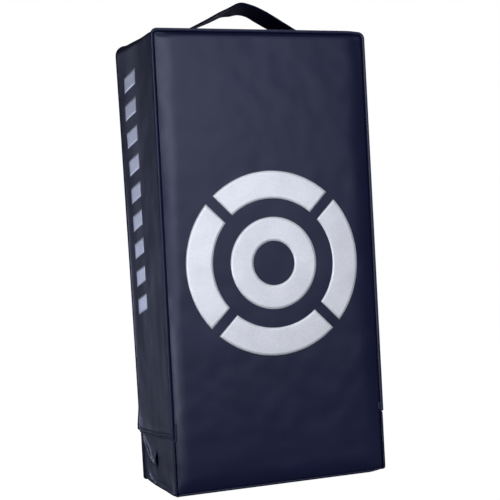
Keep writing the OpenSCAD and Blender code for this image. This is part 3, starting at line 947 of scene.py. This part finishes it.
def weld(obj, distance=0.00002):
    """Joins points that meet and turns the faces outwards."""
    mesh = bmesh.new()
    mesh.from_mesh(obj.data)
    bmesh.ops.remove_doubles(mesh, verts=mesh.verts, dist=distance)
    bmesh.ops.recalc_face_normals(mesh, faces=mesh.faces)
    mesh.to_mesh(obj.data)
    mesh.free()


# ---------------------------------------------------------------- webbing

WEB_T = 2.0
RAY_START = 200.0


def eased(points, ease, steps=14):
    """A polyline whose corners are curves that start a given distance before each corner."""
    points = [np.array(p, float) for p in points]
    out = [points[0]]
    for i in range(1, len(points) - 1):
        p, before, after = points[i], points[i - 1], points[i + 1]
        start = p + ease[i] * (before - p) / np.linalg.norm(before - p)
        end = p + ease[i] * (after - p) / np.linalg.norm(after - p)
        for t in np.linspace(0, 1, steps):
            out.append((1 - t) ** 2 * start + 2 * t * (1 - t) * p + t * t * end)
    out.append(points[-1])
    return np.array(out)


def strap_section(width, thick, across=12, corner=4):
    """A flat loop with rounded edges, as (across, up) rows."""
    r = thick / 2
    half = width / 2 - r
    top = [(t, r) for t in np.linspace(-half, half, across)]
    right = [(half + r * math.sin(a), r * math.cos(a)) for a in np.linspace(0, math.pi, corner + 2)[1:-1]]
    return np.array(top + right + [(-x, -up) for x, up in top + right])


def strap(name, centre, side, material, width, thick=WEB_T, cup=0.0, twist=0.0, selvedge=0.25, fray=0.12):
    """Webbing along a line of points; side is the direction of its width.

    cup raises its middle and twist its edge, and each may change along the line. selvedge is how much thicker
    its edges are, and fray is how far they wander.
    """
    tangent = np.gradient(centre, axis=0)
    tangent /= np.linalg.norm(tangent, axis=1, keepdims=True)
    side = np.broadcast_to(np.array(side, float), centre.shape)
    up = np.cross(side, tangent)
    up /= np.linalg.norm(up, axis=1, keepdims=True)
    across, height = strap_section(width, thick).T[:, None, :]
    share = 2 * across / width
    s = lengths(centre)[:, None]
    thicker = 1 + selvedge * np.clip((np.abs(across) - width / 2 + 4) / 4, 0, 1) ** 2
    lift = height * thicker + np.reshape(cup, (-1, 1)) * (1 - share ** 2) + np.reshape(twist, (-1, 1)) * share
    edge = fray * ripple((s, 7.3, 0.3, 0.6), (s, 17.0, 1.9, 1.0)) * np.sign(across)
    out = across + edge * (np.abs(across) > width / 2 - 3)
    rings = centre[:, None, :] + side[:, None, :] * out[..., None] + up[:, None, :] * lift[..., None]
    uv = np.stack([np.broadcast_to(s, out.shape), np.broadcast_to(across, out.shape)], -1)
    return tube(name, rings, material, uv)


def box_stitch(centre, along, across, normal, length, width):
    """A stitched box with a cross in it, on a flat piece of webbing."""
    c, a, b, n = (np.array(v, float) for v in (centre, along, across, normal))
    corners = [c + a * length / 2 * i + b * width / 2 * j for i, j in ((-1, -1), (1, -1), (1, 1), (-1, 1))]
    made = []
    for i, j in ((0, 1), (1, 2), (2, 3), (3, 0), (0, 2), (1, 3)):
        points = np.linspace(corners[i], corners[j], 8)
        made += stitch_row(points, np.tile(n, (8, 1)), pitch=3.2, length=2.4, radius=0.3, sink=0.05)
    return made


def back_box_stitch(x, z, lift, length, width):
    """A box stitch on webbing that lies on the back panel; lift is the height of the webbing's top."""
    y = back_face(x, z) + lift
    return box_stitch((x, y, z), (1, 0, 0), (0, 0, 1), (0, 1, 0), length, width)


def patch(name, node, radius=7.0, inset=3.4):
    """A sewn vinyl patch with round corners, thinner along its stitched border; gives back its stitches."""
    low, high = box_mm(node)
    mid = (low + high) / 2
    half_x, thick, half_z = (high[0] - low[0]) / 2, high[1] - low[1], (high[2] - low[2]) / 2
    share = graded(1.0, 0.02, 1.3, 0.12)
    u, v = np.meshgrid(share, share, indexing="xy")
    x, z = round_corners(u * half_x, v * half_z, half_x, half_z, radius)
    edge, _ = inside_edge(x, z, half_x, half_z, radius)
    height = thick * np.sqrt(np.clip(1 - (1 - np.clip(edge / 1.1, 0, 1)) ** 2, 0, 1))
    height -= 0.35 * bump(edge, inset, 0.8)
    floor = back_face(mid[0] + x, mid[2] + z)
    outer = np.stack([mid[0] + x, floor + 0.05 + height, mid[2] + z], -1)[:, ::-1]
    inner = np.stack([mid[0] + x, floor + 0.02, mid[2] + z], -1)[:, ::-1]
    stands_for(shell(name, outer, inner, NAVY_BAND), ROOT, "band_vinyl", node)
    ring = resampled(round_rectangle(half_x - inset, half_z - inset, radius - inset, 5), 2.0)
    ring_x, ring_z = mid[0] + ring[:, 0], mid[2] + ring[:, 1]
    line = np.stack([ring_x, back_face(ring_x, ring_z) + thick - 0.28, ring_z], -1)
    return stitch_row(line, np.tile((0, 1, 0), (len(line), 1)), radius=0.32, sink=0.1)


def tree_of(obj):
    """A piece's faces, in millimetres, for rays to hit."""
    mesh = obj.data
    verts = [v.co / MM for v in mesh.vertices]
    return BVHTree.FromPolygons(verts, [tuple(p.vertices) for p in mesh.polygons])


def surface(tree, axis, side, first, second, missing):
    """A coordinate of the cover's outer face where rays along its axis, from one side, meet it.

    first and second are the other two coordinates, and missing is for rays that meet nothing.
    """
    first, second = np.broadcast_arrays(first, second)
    spots = np.stack([first.ravel(), second.ravel()], 1).astype(float)
    starts = np.insert(spots, axis, side * RAY_START, axis=1)
    ray = Vector([-side if k == axis else 0 for k in range(3)])
    hits = [tree.ray_cast(Vector(start), ray)[0] for start in starts]
    return np.reshape([missing if hit is None else hit[axis] for hit in hits], first.shape)


def front_face(x, z):
    """y of the strike face."""
    return surface(FRONT_TREE, 1, -1, x, z, -FACE_Y)


def back_face(x, z):
    """y of the back panel."""
    return surface(BACK_TREE, 1, 1, x, z, FACE_Y)


def left_face(y, z):
    """x of the gusset's left side."""
    return surface(SIDE_TREE, 0, -1, y, z, -HALF_W)


# ---------------------------------------------------------------- carry handle

HANDLE_FEET = (-94.5, 89.5)
HANDLE_APEX = (5.0, 46.0)
HANDLE_SHIFT = -4.0
# Places where the webbing is turned a little about its length: (height of its edge, x, width of the place)
HANDLE_TWISTS = ((2.6, -8, 10), (-0.8, 19, 10), (0.8, -38, 15))


def carry_handle():
    """The webbing handle on the top, with its two sewn ends, and their box stitches."""
    low, high = box_mm("top_handle_end_left")
    width = high[1] - low[1]
    end = -low[0]
    base = TOP_Z + WEB_T / 2
    left_foot, right_foot = HANDLE_FEET
    apex = (HANDLE_APEX[0], base + HANDLE_APEX[1])
    line = eased([(-end, base), (left_foot, base), apex, (right_foot, base), (end, base)], [0, 8, 27, 8, 0])
    line = resampled(line, 2.2)
    centre = np.stack([line[:, 0], 0 * line[:, 0], line[:, 1]], 1)
    rise = smooth_step(line[:, 1], base + 2, base + 40)
    centre[:, 2] += 0.9 * (1 - smooth_step(line[:, 1], base, base + 3))
    centre[:, 0] += HANDLE_SHIFT
    twist = 1.5 * rise + sum(height * bump(centre[:, 0], x, spread) for height, x, spread in HANDLE_TWISTS)
    cup = 1.2 * rise + 0.2
    obj = strap("carry_handle", centre, (0, -1, 0), BLACK_WEB, width, cup=cup, twist=twist)
    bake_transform(obj)
    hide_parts("top_handle", "top_handle_end_left", "top_handle_end_right")
    stitches = []
    for sign, foot in zip((-1, 1), HANDLE_FEET):
        middle = (sign * (abs(foot) + end + 4) / 2 + HANDLE_SHIFT, 0, TOP_Z + WEB_T + 1.15)
        stitches += box_stitch(middle, (1, 0, 0), (0, 1, 0), (0, 0, 1), end - abs(foot) - 10, width - 9)
    thread_piece("carry_handle_stitches", stitches, BLACK_THREAD, ROOT)


# ---------------------------------------------------------------- hand grip

GRIP_FOOT_X = 86
GRIP_BEND_X = 62
LYING_GAP = 0.15


def hand_grip():
    """The grip on the back: its webbing, foam, sleeve, patches and stitches."""
    low, high = box_mm("grip_webbing")
    cover_low, cover_high = box_mm("grip_cover")
    z = (low[2] + high[2]) / 2
    width = high[2] - low[2]
    tube_y = (cover_low[1] + cover_high[1]) / 2
    web_y = FACE_Y + SKIN + WEB_T / 2 + 0.4
    far = -box_mm("grip_end_left")[0][0]
    right_side = [(GRIP_BEND_X, tube_y), (GRIP_FOOT_X, web_y), (far, web_y)]
    line = eased([(-x, y) for x, y in right_side[::-1]] + right_side, [0, 7, 14, 14, 7, 0])
    line = resampled(line, 1.8)
    lying = 1 - smooth_step(line[:, 1], web_y, web_y + 4)
    y = line[:, 1] + lying * (back_face(line[:, 0], z) + SKIN + WEB_T / 2 + LYING_GAP - web_y)
    centre = np.stack([line[:, 0], y, np.full(len(line), z)], 1)
    obj = strap("grip_webbing_strap", centre, (0, 0, 1), BLACK_WEB, width)
    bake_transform(obj)
    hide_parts("grip_webbing", "grip_end_left", "grip_end_right")

    half = (cover_high[0] - cover_low[0]) / 2
    radius = (cover_high[1] - cover_low[1]) / 2
    grip_cover_piece(z, tube_y, half, radius)
    grip_tube_piece(z, tube_y, half - 1, radius - SKIN - 0.2)

    stitches = []
    for sign, side in ((-1, "left"), (1, "right")):
        stitches += patch(f"grip_patch_{side}_vinyl", f"grip_patch_{side}", radius=6)
        x = sign * (GRIP_FOOT_X + far + 6) / 2
        stitches += back_box_stitch(x, z, SKIN + WEB_T + 0.2, far - GRIP_FOOT_X - 8, width - 8)
    thread_piece("grip_stitches", stitches, BLACK_THREAD, ROOT)


SLEEVE_SWELL = 0.5
SLEEVE_SEAM = math.pi * 1.5


def grip_cover_piece(z, y, half, radius):
    """The vinyl sleeve, pulled in along its sewn seam and gathered a little at its ends."""
    outer = [(x - half, radius - drop) for x, drop in ((1.0, 1.1), (0.3, 1.0), (0.0, 0.5), (0.4, 0.1))]
    outer += [(t, radius) for t in np.linspace(-half + 1.4, half - 1.4, 40)]
    outer += [(-x, r) for x, r in outer[:4][::-1]]
    inner = [(t, radius - 1.15) for t in np.linspace(half - 2, -half + 2, 12)]
    rows = np.array(outer + inner)
    angle = np.linspace(0, 2 * math.pi, 72, endpoint=False)[None, :]
    x, r = rows[:, :1], rows[:, 1:]
    on_outer = (np.arange(len(rows)) < len(outer))[:, None]
    seam = bump((angle - SLEEVE_SEAM + math.pi) % (2 * math.pi) - math.pi, 0, 0.09)
    gathers = 0.22 * np.sin(angle * 9 + 1.2) * bump(np.abs(x), half - 2, 9)
    wander = 0.16 * ripple((x + 6 * angle, 19, 0.5, 0.5))
    swell = SLEEVE_SWELL * (1 - (x / half) ** 2)
    r = r + on_outer * (swell + gathers + wander - 0.9 * seam)
    rings = np.stack([np.broadcast_to(x, r.shape), y + r * np.cos(angle), z + r * np.sin(angle)], -1)
    obj = tube("grip_sleeve", rings, NAVY, closed=True)
    stands_for(obj, "hand_grip", "cover_vinyl", "grip_cover", fill=0.9)
    stitches = []
    for shift in (-0.16, 0.16):
        a = SLEEVE_SEAM + shift
        xs = np.linspace(-half + 3, half - 3, 30)
        r_at = radius + SLEEVE_SWELL * (1 - (xs / half) ** 2) - 0.1
        line = np.stack([xs, y + r_at * math.cos(a), z + r_at * math.sin(a)], 1)
        normal = np.tile((0, math.cos(a), math.sin(a)), (len(xs), 1))
        stitches += stitch_row(line, normal, sink=0.15)
    thread_piece("grip_sleeve_stitches", stitches, NAVY_THREAD, "hand_grip")


def grip_tube_piece(z, y, half, radius):
    """The foam tube, whose cut ends show inside the sleeve; its bore is squeezed flat round the webbing."""
    bore = 5.0
    rows = [(-half + 1.2, radius), (-half + 0.3, radius - 0.6), (-half, radius - 1.6)]
    rows += [(-half, bore + 2), (-half + 0.5, bore + 0.5), (-half + 1.5, bore)]
    rows += [(t, bore) for t in np.linspace(-half + 8, half - 8, 6)]
    rows += [(-x, r) for x, r in rows[:6][::-1]]
    rows += [(t, radius) for t in np.linspace(half - 8, -half + 8, 6)]
    rows = np.array(rows)
    angle = np.linspace(0, 2 * math.pi, 48, endpoint=False)[None, :]
    x, r = rows[:, :1], rows[:, 1:]
    inside = np.broadcast_to(r < bore + 1, (len(rows), angle.shape[1]))
    py, pz = r * np.cos(angle), r * np.sin(angle)
    py = np.where(inside, py * 0.34, py)
    pz = np.where(inside, pz * 2.6, pz)
    rings = np.stack([np.broadcast_to(x, py.shape), y + py, z + pz], -1)
    obj = tube("grip_foam_tube", rings, GRIP_FOAM, closed=True)
    stands_for(obj, "hand_grip", "grip_foam", "grip_tube", fill=1.0)


# ---------------------------------------------------------------- forearm straps

ARCH_HALF_W = 62.0
ARCH_RISE = 46.0
FOOT_R = 9.0
STRAP_END = 8.0
WRAP_R = 3.3
TAIL_END = 100.0
PLY = 1.0
TAIL_OFF = WEB_T / 2 + 2 * PLY + 0.35 + WEB_T / 2 + 0.1
ARCH_Y = FACE_Y + SKIN + WEB_T / 2 + FOOT_R
BAR_R = 2.0
RING_INNER_X = 72.0
RING_CORNER = 3.6
TAB_STITCH_X = 86


def arch(degrees):
    """Points of the strap's arch in the XY plane; 0 is on the side of its ring, and 180 at its foot."""
    a = np.radians(degrees)
    return np.stack([ARCH_HALF_W * np.cos(a), ARCH_Y + ARCH_RISE * np.sin(a)], -1)


def arch_out(degrees):
    """Outward directions of the arch."""
    a = np.radians(degrees)
    out = np.stack([ARCH_RISE * np.cos(a), ARCH_HALF_W * np.sin(a)], -1)
    return out / np.linalg.norm(out, axis=-1, keepdims=True)


def ring_bars():
    """Centres of the ring's outer and inner bars in the XY plane."""
    outer = arch(STRAP_END) + WRAP_R * arch_out(STRAP_END)
    return outer, np.array([RING_INNER_X, FACE_Y + SKIN + WRAP_R + 0.9])


def arc_points(centre, r, start, end, count):
    """Points on an arc in the XY plane, with its angles in degrees."""
    a = np.radians(np.linspace(start, end, count))
    return np.stack([centre[0] + r * np.cos(a), centre[1] + r * np.sin(a)], -1)


def strap_pieces(level, z, width):
    """One forearm strap: strap, tail, loop tape, hook tape, ring, tab, patches and stitches."""
    outer_bar, inner_bar = ring_bars()
    out = arch_out(STRAP_END)
    turn = math.degrees(math.atan2(out[1], out[0])) + 180
    foot_x = -ARCH_HALF_W - FOOT_R
    web_y = ARCH_Y - FOOT_R
    end_x = box_mm(f"{level}_strap")[0][0]

    def in_space(line, step=1.6):
        line = resampled(line, step)
        return np.stack([line[:, 0], line[:, 1], np.full(len(line), z)], 1)

    foot = np.concatenate([
        [[end_x, web_y]], arc_points((foot_x, ARCH_Y), FOOT_R, -90, 0, 10),
        arch(np.linspace(180, STRAP_END, 80))[1:], arc_points(outer_bar, WRAP_R, turn, 268, 8)[1:],
    ])
    centre = in_space(foot)
    lying = 1 - smooth_step(centre[:, 1], web_y, web_y + 5)
    lying[centre[:, 0] > 0] = 0
    floor = back_face(centre[:, 0], centre[:, 2])
    centre[:, 1] += lying * (floor + SKIN + WEB_T / 2 + LYING_GAP - web_y)
    main = strap(f"{level}_forearm_strap", centre, (0, 0, 1), BLACK_WEB, width)
    stands_for(main, ROOT, "webbing", f"{level}_strap")

    degrees = np.linspace(STRAP_END + 2, TAIL_END, 60)
    gap = TAIL_OFF + 1.2 * np.clip(1 - (degrees - STRAP_END) / 25, 0, 1) ** 2
    over = arch(degrees) + gap[:, None] * arch_out(degrees)
    wrap = arc_points(outer_bar, WRAP_R, 268, turn + 175, 14)
    knee = np.array([(wrap[-1] + over[0]) / 2 + 0.35 * out])
    centre = in_space(np.concatenate([wrap, knee, over]))
    tail = strap(f"{level}_strap_tail_web", centre, (0, 0, 1), BLACK_WEB, width)
    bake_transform(tail)
    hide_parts(f"{level}_strap_tail")

    degrees = np.linspace(150, 40, 60)
    line = in_space(arch(degrees) + (WEB_T / 2 + 0.1 + PLY / 2) * arch_out(degrees))
    loop = strap(f"{level}_loop_tape", line, (0, 0, 1), LOOP_PILE, width - 4, PLY, selvedge=0, fray=0.3)
    stands_for(loop, ROOT, "hook_loop", f"{level}_strap_loop_tape")
    degrees = np.linspace(97, 42, 40)
    line = in_space(arch(degrees) + (TAIL_OFF - WEB_T / 2 - 0.1 - PLY / 2) * arch_out(degrees))
    hook = strap(f"{level}_hook_tape", line, (0, 0, 1), HOOK_PILE, width - 4, PLY, selvedge=0)
    stands_for(hook, f"{level}_tail", "hook_loop", f"{level}_strap_hook_tape")

    wire_ring(level, z, width, outer_bar, inner_bar)
    ring_tab(level, z, width, inner_bar, in_space)
    strap_stitches(level, z, width, foot_x, end_x)


def wire_ring(level, z, width, outer_bar, inner_bar):
    """A rectangular ring of bent wire with a butt weld on its inner bar."""
    run = inner_bar - outer_bar
    span = np.linalg.norm(run)
    run = run / span
    half_z = width / 2 + 3.0
    line = round_rectangle(span / 2, half_z, RING_CORNER, 7) + (span / 2, 0)
    flat = resampled(line, 1.5)[:-1]
    centre = np.column_stack([outer_bar + run * flat[:, :1], z + flat[:, 1]])
    tangent = np.roll(centre, -1, 0) - np.roll(centre, 1, 0)
    tangent /= np.linalg.norm(tangent, axis=1, keepdims=True)
    normal = np.array([-run[1], run[0], 0.0])
    inward = np.cross(tangent, normal)
    angle = np.linspace(0, 2 * math.pi, 16, endpoint=False)
    weld_at = bump(centre[:, 2], z + 12, 1.6) * (flat[:, 0] > span - 1)
    radius = (BAR_R - 0.05 + 0.3 * weld_at)[:, None, None]
    section = np.cos(angle)[None, :, None] * inward[:, None, :] + np.sin(angle)[None, :, None] * normal
    rings = centre[:, None, :] + radius * section
    obj = tube(f"{level}_wire_ring", rings, NICKEL, closed=True)
    stands_for(obj, ROOT, "ring_wire", f"{level}_strap_ring")


def ring_tab(level, z, width, inner_bar, in_space):
    """Two plies sewn flat, with the ring's inner bar in their loop."""
    far = box_mm(f"{level}_strap_ring_tab")[1][0]
    floor = back_face(far - 16, z) + SKIN + WEB_T / 2 + 0.1
    upper_ply = floor + WEB_T + LYING_GAP
    line = np.concatenate([
        [[far, floor], [inner_bar[0] + 12, floor]], arc_points(inner_bar, 3.2, 268, 92, 12),
        [[inner_bar[0] + 13, upper_ply], [far, upper_ply]],
    ])
    obj = strap(f"{level}_ring_tab_web", in_space(line, 1.2), (0, 0, 1), BLACK_WEB, width)
    stands_for(obj, ROOT, "webbing", f"{level}_strap_ring_tab")


def strap_stitches(level, z, width, foot_x, end_x):
    """The patches at a strap's two ends, and all its stitches."""
    stitches = []
    for side in ("left", "right"):
        stitches += patch(f"{level}_patch_{side}_vinyl", f"{level}_strap_patch_{side}")
    far = box_mm(f"{level}_strap_ring_tab")[1][0]
    foot_box = ((foot_x - 4 + end_x) / 2, WEB_T, foot_x - end_x - 12)
    tab_box = ((far + TAB_STITCH_X) / 2, 2 * WEB_T + LYING_GAP, far - TAB_STITCH_X - 6)
    for x, plies, length in (foot_box, tab_box):
        stitches += back_box_stitch(x, z, SKIN + plies + LYING_GAP, abs(length), width - 9)
    thread_piece(f"{level}_strap_stitches", stitches, BLACK_THREAD, ROOT)


# ---------------------------------------------------------------- print

FILM = 0.08
PROUD = 0.12


def film(name, node, slot, material, plates, normal_axis):
    """A thin print made of plates, each a grid on the surface and whether its columns close into a ring."""
    verts, faces, base = [], [], 0
    for outer, ring in plates:
        inner = outer.copy()
        inner[..., normal_axis] += FILM
        rows, cols = outer.shape[:2]
        count = rows * cols
        loops = [np.arange(cols), (rows - 1) * cols + np.arange(cols)] if ring else [outline(rows, cols)]
        made = [grid_faces(rows, cols, wrap=ring), grid_faces(rows, cols, wrap=ring, flip=True, base=count)]
        made += [rim_quads(loop, count) for loop in loops]
        faces.append(np.concatenate(made) + base)
        verts += [outer.reshape(-1, 3), inner.reshape(-1, 3)]
        base += 2 * count
    obj = new_object(name, np.concatenate(verts), np.concatenate(faces), material)
    weld(obj, 1e-7)
    stands_for(obj, ROOT, slot, node)


def target_print():
    """A round target on the strike face: an outer ring in four parts and an inner ring."""
    low, high = box_mm("target_print")
    middle = (low[2] + high[2]) / 2
    radius = (high[0] - low[0]) / 2
    half_gap = 7.0
    plates = []
    for quarter in range(4):
        r = np.linspace(0.7 * radius, radius, 12)[:, None]
        spread = np.arcsin(half_gap / r)
        start = math.radians(45 + 90 * quarter) + spread
        end = math.radians(135 + 90 * quarter) - spread
        plates.append((r, start + (end - start) * np.linspace(0, 1, 48)[None, :], False))
    r = np.linspace(0.24 * radius, 0.5 * radius, 10)[:, None]
    plates.append((r, 2 * math.pi * np.arange(96)[None, :] / 96, True))
    made = []
    for r, angle, ring in plates:
        x, z = r * np.cos(angle), middle + r * np.sin(angle)
        y = front_face(x, z) - PROUD
        made.append((np.stack([x, y, z], -1), ring))
    film("target_film", "target_print", "print_ink", SILVER, made, 1)


def side_print():
    """Slanted bars down the left side."""
    low, high = box_mm("side_print")
    bars = 9
    pitch = (high[2] - low[2]) / (bars - 0.2)
    first = (low[2] + high[2]) / 2 - pitch * (bars - 1) / 2
    y_mid, half = (low[1] + high[1]) / 2, (high[1] - low[1]) / 2
    made = []
    for k in range(bars):
        across = np.linspace(-1, 1, 12)[None, :]
        up = np.linspace(0, 1, 8)[:, None]
        z = first + pitch * (k - 0.28 + 0.12 * across + 0.56 * up)
        y = y_mid - half * across + 0 * z
        x = left_face(y, z) - PROUD
        made.append((np.stack([x, y, z], -1), False))
    film("side_film", "side_print", "print_ink_side", SILVER_SHADED_SIDE, made, 0)


# ---------------------------------------------------------------- zip

def zip_parts():
    """The zip stays as built; it only needs its materials."""
    cloth, metal_parts = ("zip_tape_front", "zip_tape_back"), ("zip_end_stops", "zip_slider", "zip_pull_tab")
    for node in cloth + metal_parts:
        material = ZIP_CLOTH if node in cloth else ZINC
        frame["nodes"][node].data.materials[0] = material


# ---------------------------------------------------------------- room, lights, camera

FLOOR_HALF = 9000.0
FLOOR_GLOW = 1.25
FLOOR_GLOW_SHARE = 0.8
COOL_WHITE = (0.91, 0.94, 1.08)
CAMERA_TURN = (-21.2734, 0.2735, -2.9799)
CAMERA_PLACE = (-0.6074, -1.5518, 0.3173)
CAMERA_LENS = 86.98


def stage_floor():
    """A floor that looks white from the camera but throws little light back up."""
    low = -SAG - BELLY - 0.1
    verts = [(x * FLOOR_HALF, y * FLOOR_HALF, low) for x, y in ((-1, -1), (1, -1), (1, 1), (-1, 1))]
    n = Nodes("pale_floor")
    n.set(Base_Color=(0.22, 0.22, 0.23))
    n.set(Roughness=n.ramp(n.noise(60, 2), 0.85, 0.95), Specular_IOR_Level=0.1)
    glow = n.make("ShaderNodeEmission", Color=(1, 1, 1), Strength=FLOOR_GLOW)
    seen = n.math("MULTIPLY", n.make("ShaderNodeLightPath").outputs["Is Camera Ray"], FLOOR_GLOW_SHARE)
    blended = n.make("ShaderNodeMixShader")
    for index, value in enumerate((seen, n.shader.outputs[0], glow.outputs[0])):
        n.put(blended.inputs[index], value)
    n.put(n.output.inputs["Surface"], blended.outputs[0])
    floor = new_object("studio_floor", verts, [(0, 1, 2, 3)], n.material, smooth=False)
    floor.visible_shadow = False


def softbox(name, at, aim, size, power, colour):
    """A rectangular light at one point that faces another."""
    data = bpy.data.lights.new(name, "AREA")
    data.shape = "RECTANGLE"
    data.size, data.size_y = size
    data.energy = power
    data.color = colour
    light = bpy.data.objects.new(name, data)
    bpy.context.scene.collection.objects.link(light)
    light.location = at
    light.rotation_euler = (Vector(aim) - Vector(at)).to_track_quat("-Z", "Y").to_euler()


def world():
    """White for the camera, and a dim even sky for everything else."""
    made = bpy.data.worlds.new("studio")
    bpy.context.scene.world = made
    made.use_nodes = True
    tree = made.node_tree
    tree.nodes.clear()
    out = tree.nodes.new("ShaderNodeOutputWorld")
    rays = tree.nodes.new("ShaderNodeLightPath")
    mixed = tree.nodes.new("ShaderNodeMixShader")
    for slot_number, colour, strength in ((1, COOL_WHITE, 0.03), (2, (1, 1, 1), 1.0)):
        sky = tree.nodes.new("ShaderNodeBackground")
        sky.inputs["Color"].default_value = (*colour, 1)
        sky.inputs["Strength"].default_value = strength
        tree.links.new(sky.outputs[0], mixed.inputs[slot_number])
    tree.links.new(rays.outputs["Is Camera Ray"], mixed.inputs[0])
    tree.links.new(mixed.outputs[0], out.inputs["Surface"])


def camera():
    """Level with the middle of the pad, to its left, and tilted by about three degrees."""
    azimuth, elevation, roll = (math.radians(a) for a in CAMERA_TURN)
    level = math.cos(elevation)
    back = Vector((math.sin(azimuth) * level, -math.cos(azimuth) * level, math.sin(elevation)))
    right = (-back).cross(Vector((0, 0, 1))).normalized()
    up = right.cross(-back).normalized()
    turned = math.cos(roll) * right + math.sin(roll) * up
    upright = -math.sin(roll) * right + math.cos(roll) * up
    data = bpy.data.cameras.new("camera")
    data.sensor_width = 36
    data.lens = CAMERA_LENS
    data.clip_end = 60
    obj = bpy.data.objects.new("camera", data)
    bpy.context.scene.collection.objects.link(obj)
    axes = Matrix((turned, upright, back)).transposed().to_4x4()
    obj.matrix_world = Matrix.Translation(CAMERA_PLACE) @ axes
    bpy.context.scene.camera = obj


BRIGHTER = 1.38
COOLER = (0.84, 0.90, 1.20)


def aimed(name, left, up, size, power, distance=1.9, level=0.3, colour=COOL_WHITE):
    """A softbox at angles, in degrees, to the left of and above the strike face's normal.

    It points at the pad's middle line, at a level in metres.
    """
    a, e = math.radians(left), math.radians(up)
    away = Vector((-math.sin(a) * math.cos(e), -math.cos(a) * math.cos(e), math.sin(e)))
    around = Vector((0, 0, level))
    softbox(name, around + distance * away, around, size, power * BRIGHTER, colour)


def lights():
    aimed("right_softbox", -20, 0, (1.0, 1.0), 2.3)
    aimed("right_upper_softbox", -20, 22, (1.0, 1.0), 1.2)
    aimed("front_softbox", -8, 0, (0.8, 0.8), 1.2)
    aimed("front_upper_softbox", -8, 22, (0.8, 0.8), 2.7)
    aimed("crown_light", 15, 0, (0.3, 0.4), 1.6)
    aimed("crown_light_high", 14, 0, (0.3, 0.5), 4.7, level=0.8)
    aimed("crown_light_low", 33, 0, (0.3, 0.2), 2.1, distance=1.2, level=0.05)
    aimed("seam_light", 68, 5, (0.5, 0.9), 1.0)
    aimed("left_softbox", 130, -8, (0.5, 0.5), 4.8, colour=COOLER)
    aimed("left_tall_softbox", 140, 10, (0.5, 0.9), 0.8, colour=COOLER)
    aimed("far_right_softbox", -90, 30, (0.8, 0.8), 3)
    aimed("top_softbox", -15, 52, (1.0, 1.0), 3.0)
    aimed("back_softbox", -140, 0, (1.2, 1.2), 7)
    aimed("back_upper_softbox", -135, 38, (1.0, 1.0), 7)


camera()
world()
lights()
stage_floor()
bpy.context.scene.view_settings.view_transform = "Standard"

front_cover = face_panel("front_cover", "front_panel", -1)
back_cover = face_panel("back_cover", "back_panel", 1)
side_cover = main_gusset()
FRONT_TREE = tree_of(front_cover)
BACK_TREE = tree_of(back_cover)
SIDE_TREE = tree_of(side_cover)
bottom_bands()
foam_block("front_foam_sheet", "front_foam", FIRM_FOAM, "firm_foam")
foam_block("core_foam_block", "core_foam", SOFT_FOAM, "soft_foam", inset=13.5)
foam_block("back_foam_sheet", "back_foam", FIRM_FOAM, "firm_foam")
carry_handle()
hand_grip()
for level_name in ("upper", "lower"):
    strap_low, strap_high = box_mm(f"{level_name}_strap")
    strap_pieces(level_name, (strap_low[2] + strap_high[2]) / 2, strap_high[2] - strap_low[2])
target_print()
side_print()
zip_parts()
